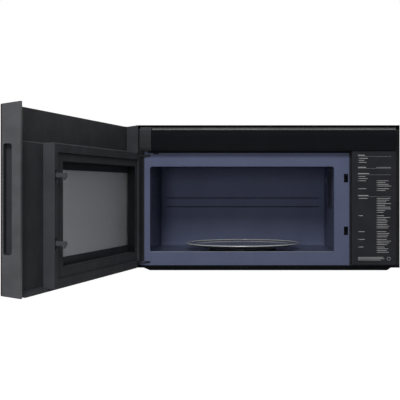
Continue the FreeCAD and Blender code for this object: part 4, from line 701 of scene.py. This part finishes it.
black_print = coated("black_print", (0.004, 0.0042, 0.005), 0.35, 900.0, 0.00001, Specular_IOR_Level=0.05)
grey_print = coated("grey_print", (0.016, 0.0165, 0.019), 0.4, 900.0, 0.00001, Specular_IOR_Level=0.05)
mark_ink = coated("mark_ink", (0.3, 0.3, 0.31), 0.55, 2500.0, 0.00001)
# A paler glass for the tray's rim: painted highlight along it.
rim_glass = clear_glass("rim_glass", (0.8, 0.82, 0.82), 0.1, 10.0, 0.45)
# Dark rubber for the bumpers; in the finger pocket the same dark is painted shade.
dark_lining = coated("dark_lining", (0.024, 0.0245, 0.028), 0.5, 1500.0, 0.00003, Specular_IOR_Level=0.04)


def window_print():
    """Dark print round the inner pane, wide along its top and bottom."""
    bottom_band, top_band, side_band = 21 * MM, 19 * MM, 1.5 * MM
    clear_low = (RECESS_LOW[0] + side_band, RECESS_LOW[1] + bottom_band)
    clear_high = (RECESS_HIGH[0] - side_band, RECESS_HIGH[1] - top_band)
    return ring_mesh(
        "window_print", (RECESS_LOW, RECESS_HIGH, 1 * MM), (clear_low, clear_high, 3 * MM),
        PANE_HIGH.y + HAIR, PANE_HIGH.y + 2 * HAIR,
    )


def recess_edge():
    """A thin black ring round the mouth of the window recess: painted shadow along its edge."""
    face, deep, wide = CHOKE_HIGH.y - CHOKE_STEP, 2.5 * MM, 1.2 * MM
    outer = (RECESS_LOW, RECESS_HIGH, 1.5 * MM)
    inner = (*shrink(RECESS_LOW, RECESS_HIGH, wide), 1 * MM)
    return ring_mesh("recess_edge", outer, inner, face - deep, face)


def choke_seal():
    """A thin black ring in the inner corner of the choke cover's step: painted shadow in that corner."""
    wide, thick, radius = 1.4 * MM, 0.4 * MM, 1 * MM
    outer = shrink((CHOKE_LOW.x, CHOKE_LOW.z), (CHOKE_HIGH.x, CHOKE_HIGH.z), CHOKE_BORDER)
    inner = shrink(*outer, wide)
    foot = CHOKE_HIGH.y - CHOKE_STEP
    return ring_mesh("choke_seal", (*outer, radius), (*inner, radius), foot, foot + thick)


def recess_lining():
    """A black strip on the recess wall beside the hinges: painted shade on that wall."""
    near, far = PANE_HIGH.y + 2 * HAIR, CHOKE_HIGH.y - 6.6 * MM
    sheet, shoulder, gap, ease = 0.8 * MM, 0.7, 0.05 * MM, 0.3 * MM
    low, high = (near, RECESS_LOW[1] + MM), (far, RECESS_HIGH[1] - MM)
    outline = round_outline(low, high, 1 * MM)
    soft = round_outline(*shrink(low, high, ease), 0.7 * MM)
    loops = []
    for rise, shape in ((gap, outline), (sheet * shoulder, outline), (sheet, soft)):
        loops.append([(RECESS_LOW[0] + rise, y, z) for y, z in shape])
    return loft("recess_lining", loops)


def glass_print():
    """The black print inside the front glass, open only before the window."""
    low, high = shut_box("door_glass")
    margin, back = 2.5 * MM, high.y - HAIR
    window_left, window_right = DOOR_LEFT + 96 * MM, DOOR_LEFT + 560 * MM
    window_bottom, window_top = 153 * MM, 290 * MM
    outer = (*shrink((low.x, low.z), (high.x, high.z), margin), 3 * MM)
    inner = ((window_left, window_bottom), (window_right, window_top), 8 * MM)
    return ring_mesh("glass_print", outer, inner, back - HAIR, back)


def pocket_lining():
    """A dark lining in the finger pocket of the free end: painted shade on the pocket's walls."""
    end = shut_box("door_end_cap")[1].x
    pocket_low = (DOOR_FRONT + 6 * MM, 98.8 * MM)
    pocket_high = (DOOR_FRONT + 25.2 * MM, 330.6 * MM)
    corner, deep, sheet, gap = 5 * MM, 14 * MM, 0.5 * MM, 0.05 * MM
    mouth, floor = end - 0.8 * MM, end - deep

    def outline(step, x):
        shape = round_outline(*shrink(pocket_low, pocket_high, step), corner - step)
        return [(x, y, z) for y, z in shape]

    return loft("pocket_lining", [
        outline(gap, floor + gap), outline(gap, mouth),
        outline(gap + sheet, mouth), outline(gap + sheet, floor + gap + sheet),
    ])


def rubber_bumpers():
    """Four small domed bumpers that meet the flange when the door shuts."""
    meshes = []
    side_inset, end_inset = 60 * MM, 10 * MM
    radius, tall = 3.5 * MM, 0.6 * MM
    for across_at in (CHOKE_LOW.x + side_inset, CHOKE_HIGH.x - side_inset):
        for up_at in (CHOKE_LOW.z + end_inset, CHOKE_HIGH.z - end_inset):
            loops = []
            for share, rise in ((1.0, 0.0), (0.96, 0.35), (0.8, 0.75), (0.45, 1.0)):
                reach, y = radius * share, CHOKE_HIGH.y + tall * rise
                loops.append([
                    (across_at + reach * math.cos(turn), y, up_at + reach * math.sin(turn))
                    for turn in circle_turns(24)
                ])
            meshes.append(loft("door_bumper_%d" % (len(meshes) + 1), loops))
    return meshes


def flat_digit(text, height):
    """A plain digit as a flat mesh, centred, facing -Y."""
    curve = bpy.data.curves.new("mark_" + text, "FONT")
    curve.body = text
    curve.size = height
    curve.align_x = "CENTER"
    curve.align_y = "CENTER"
    curve.extrude = 0.05 * MM
    holder = bpy.data.objects.new("mark_" + text, curve)
    mesh = bpy.data.meshes.new_from_object(holder)
    bpy.data.objects.remove(holder)
    mesh.transform(Matrix.Rotation(math.pi / 2, 4, "X"))
    return mesh


def join_meshes(name, meshes):
    """One mesh made of several. The parts stay apart inside it."""
    shape = bmesh.new()
    for mesh in meshes:
        shape.from_mesh(mesh)
    joined = bpy.data.meshes.new(name)
    shape.to_mesh(joined)
    shape.free()
    return joined


def keypad_marks():
    """The touch keys printed on the front glass: an empty clock frame, ten digits, plain bars and rings."""
    foil_low, foil_high = shut_box("touch_foil")
    middle = (foil_low.x + foil_high.x) / 2
    near = DOOR_FRONT - 0.06 * MM
    far = near + HAIR / 2
    column_pitch = 27 * MM

    clock_low, clock_high = shut_box("display_module")
    frame = shrink((clock_low.x, clock_low.z), (clock_high.x, clock_high.z), -2 * MM)
    frame_line = 0.6 * MM
    marks = [ring_mesh("clock_frame", (*frame, 2.5 * MM), (*shrink(*frame, frame_line), 2 * MM), near, far)]

    digit_pitch, digits_top, digit_height = 24 * MM, 240 * MM, 9 * MM
    for at, digit in enumerate("1234567890"):
        column, row = (1, 3) if digit == "0" else (at % 3, at // 3)
        mark = flat_digit(digit, digit_height)
        place = (middle + (column - 1) * column_pitch, near, digits_top - row * digit_pitch)
        mark.transform(Matrix.Translation(place))
        marks.append(mark)

    bar_pitch, bars_top, half_wide, half_tall = 17 * MM, 318 * MM, 8 * MM, 0.8 * MM
    for row in range(3):
        for column in range(3):
            across_at, up_at = middle + (column - 1) * column_pitch, bars_top - row * bar_pitch
            low = (across_at - half_wide, up_at - half_tall)
            high = (across_at + half_wide, up_at + half_tall)
            marks.append(plate_mesh("key_bar", low, high, 0.7 * MM, near, far))

    ring_offset, ring_height, ring_radius, ring_line = 24 * MM, 128 * MM, 11 * MM, 0.7 * MM
    for side in (-1, 1):
        centre = (middle + side * ring_offset, ring_height)
        marks.append(round_ring("key_ring", centre, ring_radius, ring_line, near, far))
    return join_meshes("keypad_marks", marks)


for mesh, slot, material in (
    (window_print(), "door_moulding", grey_print),
    (choke_seal(), "door_moulding", black_print),
    (recess_edge(), "door_moulding", black_print),
    (recess_lining(), "door_moulding", black_print),
    (glass_print(), "door_glass", black_print),
    (pocket_lining(), "door_moulding", dark_lining),
    (keypad_marks(), "door_glass", mark_ink),
    *((bumper, "inner_plastic", dark_lining) for bumper in rubber_bumpers()),
):
    add_piece(mesh, "door", material, on_door=True)


# ---------------------------------------------------------------- added pieces on the cabinet
FLANGE_LOW, FLANGE_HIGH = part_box("cavity_box")
FLANGE_FRONT = FLANGE_LOW[1]
OPENING_LOW = (-340.6 * MM, 54.1 * MM)
OPENING_HIGH = (191.1 * MM, 299.5 * MM)
OPENING_ROUND = 6.5 * MM
BACK_WALL = -15.5 * MM
LIFT = 0.02 * MM  # the gap that keeps a thin strip clear of the sheet it lies on
SCREW_RADIUS = 3.6 * MM
SCREW_INSET = 12 * MM

polished_black = coated(
    "polished_black", (0.006, 0.0065, 0.008), 0.24, 1800.0, 0.000002, Specular_IOR_Level=0.16)
# A paler enamel for the edge along the bottom of the opening: painted highlight where that edge catches
# light.
enamel_edge = coated("enamel_edge", (0.16, 0.175, 0.21), 0.35, 900.0, 0.00001, Specular_IOR_Level=0.1)
screw_black = metal("screw_black", (0.05, 0.05, 0.053), 0.35, STEEL_BRUSH)


def flange_strip(name, low, high, radius, proud, edge):
    """A strip that lies on the flange and stands a little proud of it."""
    return plate_mesh(name, low, high, radius, FLANGE_FRONT - proud, FLANGE_FRONT - LIFT, edge)


def opening_bead():
    """The rolled edge of the enamel round the oven's opening."""
    proud, width = 0.7 * MM, 2.2 * MM
    return bead_mesh("opening_bead", OPENING_LOW, OPENING_HIGH, OPENING_ROUND, FLANGE_FRONT, proud, width)


def opening_sill():
    """A pale strip along the bottom of the opening: the rolled edge, made paler as a painted highlight."""
    low = (OPENING_LOW[0] + 4 * MM, OPENING_LOW[1] - 2.2 * MM)
    high = (OPENING_HIGH[0] - 4 * MM, OPENING_LOW[1] + 0.1 * MM)
    return flange_strip("opening_sill", low, high, 1 * MM, 1.0 * MM, 0.5 * MM)


def hinge_side_trim():
    """The black strip that covers the flange beside the hinges."""
    foot, right = 26.5 * MM, -357.2 * MM
    low, high = (FLANGE_LOW[0] + MM, foot), (right, FLANGE_HIGH[2] - MM)
    return flange_strip("hinge_side_trim", low, high, 1.5 * MM, 0.7 * MM, 0.3 * MM)


def fascia_brow():
    """The polished edge that runs along the sloping top of the fascia."""
    low, high = (Vector(corner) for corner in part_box("fascia"))
    front = low.y + 4 * MM
    foot, crest, slope = 10.2 * MM, 3.2 * MM, 10 / 10.2
    sunk, soft, full, lean = -0.4 * MM, 0.25 * MM, 0.45 * MM, 0.7
    profile = (
        (foot, sunk), (foot - 0.5 * MM, soft), (foot - 1.6 * MM, full),
        (crest + 1.6 * MM, full), (crest + 0.5 * MM, soft), (crest, sunk),
    )
    section = []
    for drop, proud in profile:
        section.append((front + (foot - drop) * slope - proud * lean, high.z - drop + proud * lean))
    middle_y = sum(y for y, z in section) / len(section)
    middle_z = sum(z for y, z in section) / len(section)
    tip, taper, tip_share = 1 * MM, 3 * MM, 0.6
    stations = (
        (low.x + tip, tip_share), (low.x + taper, 1.0), (high.x - taper, 1.0), (high.x - tip, tip_share),
    )
    loops = []
    for x, share in stations:
        loops.append([
            (x, middle_y + (y - middle_y) * share, middle_z + (z - middle_z) * share) for y, z in section
        ])
    return loft("fascia_brow", loops)


def fascia_gasket():
    """A black strip on the flange under the fascia: painted shadow in the gap below the fascia, with three
    dark tabs near its left end.
    """
    fascia_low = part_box("fascia")[0]
    low = (fascia_low[0] - 14 * MM, fascia_low[2] - 5 * MM)
    high = (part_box("label_panel")[0][0] - MM, fascia_low[2] + 8 * MM)
    strips = [flange_strip("gasket_strip", low, high, 1 * MM, 2.2 * MM, 0.6 * MM)]
    first_tab, tab_pitch, tab_width = 15 * MM, 5.5 * MM, 5 * MM
    for at in range(3):
        start = low[0] + first_tab + tab_pitch * at
        tab_low, tab_high = (start, low[1] - 4 * MM), (start + tab_width, low[1] + 2 * MM)
        strips.append(flange_strip("gasket_tab", tab_low, tab_high, 2 * MM, 0.8 * MM, 0.3 * MM))
    return join_meshes("fascia_gasket", strips)


def back_ridge(name, along, start, end, centre, wide, proud):
    """A half-round ridge on the cavity's back wall, lying along X or standing along Z."""
    turns = [math.pi * at / 8 for at in range(9)]
    section = [(math.cos(turn) * wide / 2, math.sin(turn) * proud) for turn in turns]
    end_share = 0.2
    loops = []
    for place, share in ((start, end_share), (start + wide, 1.0), (end - wide, 1.0), (end, end_share)):
        loop = []
        for offset, rise in section:
            y = BACK_WALL - rise * share - LIFT
            loop.append((place, y, centre + offset) if along == "X" else (centre + offset, y, place))
        loops.append(loop)
    return loft(name, loops)


def back_wall_ridges():
    """Rolled edges of the band across the back, a black line beside each as painted shadow, and the folds
    near its two corners.
    """
    left, right, bottom, top = -326 * MM, 176.5 * MM, 60 * MM, 292 * MM
    band_edges, corner_folds = (175 * MM, 204 * MM), (-333 * MM, 183.5 * MM)
    ridge_drop, shadow_rise = 1.3 * MM, 1.1 * MM
    ridges, shadow_lines = [], []
    for number, up_at in enumerate(band_edges):
        ridges.append(back_ridge(
            "band_ridge_%d" % number, "X", left, right, up_at - ridge_drop, 2.4 * MM, 1.2 * MM))
        shadow_lines.append(back_ridge(
            "band_seam_%d" % number, "X", left, right, up_at + shadow_rise, 1.8 * MM, 0.25 * MM))
    for number, across_at in enumerate(corner_folds):
        ridges.append(back_ridge("corner_fold_%d" % number, "Z", bottom, top, across_at, 3.0 * MM, 1.6 * MM))
    return join_meshes("back_ridges", ridges), join_meshes("back_seams", shadow_lines)


def tray_rim():
    """The rolled rim of the glass tray, in paler glass as a painted highlight along it."""
    low, high = (Vector(corner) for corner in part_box("glass_tray"))
    middle = (low + high) / 2
    bead, inset, sink = 1.6 * MM, 0.1 * MM, 0.6
    ring = (high.x - low.x) / 2 - bead - inset
    loops = []
    for turn in circle_turns(120):
        loop = []
        for lean in circle_turns(10):
            reach = ring + bead * math.cos(lean)
            up_at = high.z + bead * (math.sin(lean) - sink)
            loop.append((middle.x + reach * math.cos(turn), middle.y + reach * math.sin(turn), up_at))
        loops.append(loop)
    return loft("tray_rim", loops, ring=True)


def base_gasket():
    """The black strip along the flange's lower edge."""
    bottom, top = 9.2 * MM, 14.2 * MM
    low, high = (FLANGE_LOW[0] + MM, bottom), (FLANGE_HIGH[0] - MM, top)
    return flange_strip("base_gasket", low, high, 1 * MM, 1.2 * MM, 0.5 * MM)


def label_marks():
    """Rows of plain bars in two columns on the right-hand panel, with a plain ring at the foot.

    Places are in millimetres from the panel's left side and down from its top."""
    low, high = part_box("label_panel")
    left, top, face = low[0], high[2], low[1] - 0.05 * MM
    ink = HAIR / 3
    number_left, number_right, name_left, name_right = 17.5, 18.7, 20.3, 46.0
    dot_left, dot_right, text_left, text_right = 70.4, 71.4, 72.8, 112.0
    rule_right, rule_drop, footer_right = 111.9, 3.4, 93.5
    headings = ((37.0, 11.0), (40.5, 45.7), (49.0, 63.7), (47.0, 126.4))
    entries = (19.9, 25.6, 31.3, 72.0, 78.0, 84.3, 106.9, 134.7, 184.2, 229.8, 252.1, 273.9)
    paragraphs = ((84.3, 4), (106.9, 2), (134.7, 9), (184.2, 8), (229.8, 4), (252.1, 4), (273.9, 4))
    blocks = []

    def block(start, end, drop, rows=1, words=1, tall=1.3, pitch=5.0, shortest=1.0):
        rows_mesh = run_nodes("label_rows", MARK_ROWS, {
            "Rows": rows, "Words": words, "Row Length": (end - start) * MM, "Pitch": pitch * MM,
            "Ink Height": tall * MM, "Ink Depth": ink, "Shortest": shortest, "Seed": int(drop * 10),
            "Ink": mark_ink,
        })
        rows_mesh.transform(Matrix.Translation((left + start * MM, face, top - drop * MM)))
        blocks.append(rows_mesh)

    for heading_right, drop in headings:
        block(number_left, heading_right, drop, tall=2.1)
        block(number_left, rule_right, drop + rule_drop, tall=0.35)
    block(dot_left, rule_right, 45.9, words=5, tall=1.0, shortest=0.7)
    for drop in entries:
        block(number_left, number_right, drop, tall=1.1)
        block(name_left, name_right, drop, tall=1.35, shortest=0.4)
    for drop, rows in paragraphs:
        block(dot_left, dot_right, drop, rows=rows, tall=1.1)
        block(text_left, text_right, drop, rows=rows, tall=1.3, shortest=0.45)
    block(number_left, footer_right, 303.4, rows=3, tall=1.3, pitch=3.8, shortest=0.85)
    ring_centre = (left + 105.5 * MM, top - 307.3 * MM)
    plain_ring = round_ring("label_ring", ring_centre, 5 * MM, 0.8 * MM, face, face + ink)
    plain_ring.materials.append(mark_ink)
    return join_meshes("label_marks", blocks + [plain_ring])


add_piece(opening_bead(), "cabinet", MATERIALS["flange_enamel"])
add_piece(fascia_brow(), "cabinet", polished_black)
add_piece(fascia_gasket(), "cabinet", black_print)
add_piece(opening_sill(), "cabinet", enamel_edge)
add_piece(hinge_side_trim(), "cabinet", MATERIALS["case_black"])
ridges, shadow_lines = back_wall_ridges()
add_piece(ridges, "cabinet", MATERIALS["flange_enamel"])
add_piece(shadow_lines, "cabinet", black_print)
add_piece(tray_rim(), "turntable", rim_glass)
add_piece(base_gasket(), "cabinet", black_print)
add_piece(label_marks(), "cabinet", mark_ink)

case_low, case_high = (Vector(corner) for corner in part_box("outer_case"))
rear_row = case_high.y - SCREW_INSET
side_rows = (case_low.y + 2 * SCREW_INSET, rear_row)
side_spots = [(y, z) for y in side_rows for z in (45 * MM, 215 * MM, 385 * MM)]
quarter = math.pi / 2
for name, wall, lean, seed in (
    ("screws_left", case_low.x, -quarter, 3), ("screws_right", case_high.x, quarter, 4),
):
    spots = [(wall, y, z) for y, z in side_spots]
    heads = screws(name, spots, (0.0, lean, 0.0), SCREW_RADIUS, screw_black, seed)
    add_piece(heads, "cabinet", screw_black)
top_spots = [(x, rear_row, case_high.z) for x in (-340 * MM, -110 * MM, 110 * MM, 340 * MM)]
heads = screws("screws_top", top_spots, (0.0, 0.0, 0.0), SCREW_RADIUS, screw_black, 5)
add_piece(heads, "cabinet", screw_black)


# ---------------------------------------------------------------- studio
PLAIN_WHITE = (1.0, 1.0, 1.0, 1.0)


def seen_directly(tree):
    """1 for rays that come straight from the camera, through glass or off gloss, and 0 for the rest."""
    path = add_node(tree, "ShaderNodeLightPath")
    by_way = calculate(tree, "MAXIMUM", path.outputs["Is Transmission Ray"], path.outputs["Is Glossy Ray"])
    return calculate(tree, "MAXIMUM", path.outputs["Is Camera Ray"], by_way)


def background(tree, strength):
    made = add_node(tree, "ShaderNodeBackground")
    made.inputs["Color"].default_value = PLAIN_WHITE
    made.inputs["Strength"].default_value = strength
    return made.outputs[0]


def studio_world():
    """Even pale light. Rays that look straight at it, or by way of glass or gloss, find plain white."""
    world = bpy.data.worlds.new("studio")
    bpy.context.scene.world = world
    world.use_nodes = True
    tree = world.node_tree
    tree.nodes.clear()
    choose = add_node(tree, "ShaderNodeMixShader")
    feed(tree, choose.inputs[0], seen_directly(tree))
    feed(tree, choose.inputs[1], background(tree, 0.1))
    feed(tree, choose.inputs[2], background(tree, 1.0))
    out = add_node(tree, "ShaderNodeOutputWorld")
    feed(tree, out.inputs[0], choose.outputs[0])


def pale_floor(height, half):
    """A wide floor that is seen as near white but throws little light back on the object."""
    mesh = bpy.data.meshes.new("floor")
    corners = [(-half, -half, height), (half, -half, height), (half, half, height), (-half, half, height)]
    mesh.from_pydata(corners, [], [(0, 1, 2, 3)])
    floor = bpy.data.objects.new("floor", mesh)
    bpy.context.scene.collection.objects.link(floor)
    material = bpy.data.materials.new("pale_floor")
    material.use_nodes = True
    tree = material.node_tree
    tree.nodes.clear()
    paint = add_node(tree, "ShaderNodeBsdfDiffuse")
    paint.inputs["Color"].default_value = (0.35, 0.35, 0.35, 1.0)
    glow = add_node(tree, "ShaderNodeEmission")
    feed(tree, glow.inputs["Strength"], calculate(tree, "MULTIPLY", seen_directly(tree), 0.97))
    both = add_node(tree, "ShaderNodeAddShader")
    feed(tree, both.inputs[0], paint.outputs[0])
    feed(tree, both.inputs[1], glow.outputs[0])
    out = add_node(tree, "ShaderNodeOutputMaterial")
    feed(tree, out.inputs[0], both.outputs[0])
    mesh.materials.append(material)


def softbox(name, place, aim, width, height, watts, mirrored=True):
    """A rectangular lamp that the camera doesn't see; mirrored says whether glossy surfaces show it."""
    lamp = bpy.data.lights.new(name, "AREA")
    lamp.shape = "RECTANGLE"
    lamp.size = width
    lamp.size_y = height
    lamp.energy = watts
    lamp_object = bpy.data.objects.new(name, lamp)
    lamp_object.location = place
    lamp_object.visible_camera = False
    lamp_object.visible_glossy = mirrored
    lamp_object.rotation_euler = (Vector(aim) - Vector(place)).to_track_quat("-Z", "Y").to_euler()
    bpy.context.scene.collection.objects.link(lamp_object)


def photo_camera():
    camera = bpy.data.cameras.new("camera")
    camera.lens = 82.2
    camera.sensor_width = 36.0
    camera.shift_x = -0.12
    camera.shift_y = -0.03125
    camera_object = bpy.data.objects.new("camera", camera)
    camera_object.location = (-0.0575, -3.024, 0.239)
    camera_object.rotation_euler = (math.pi / 2, 0.0, 0.0)
    bpy.context.scene.collection.objects.link(camera_object)
    bpy.context.scene.camera = camera_object


photo_camera()
studio_world()
pale_floor(height=-0.75, half=12.0)
MIDDLE = (0.0, -0.4, 0.2)
softbox("front", (-0.45, -3.4, 0.4), MIDDLE, width=0.5, height=0.6, watts=26.0, mirrored=False)
softbox("key", (-0.3, -2.8, 1.65), MIDDLE, width=1.0, height=0.6, watts=52.0, mirrored=False)
softbox("rear", (0.35, 2.6, 0.75), MIDDLE, width=1.2, height=0.9, watts=45.0, mirrored=False)
softbox("overhead", (-0.05, -0.355, 1.5), (-0.05, -0.39, 0.4), width=1.5, height=0.1, watts=7.0)
bpy.context.scene.view_settings.view_transform = "Standard"
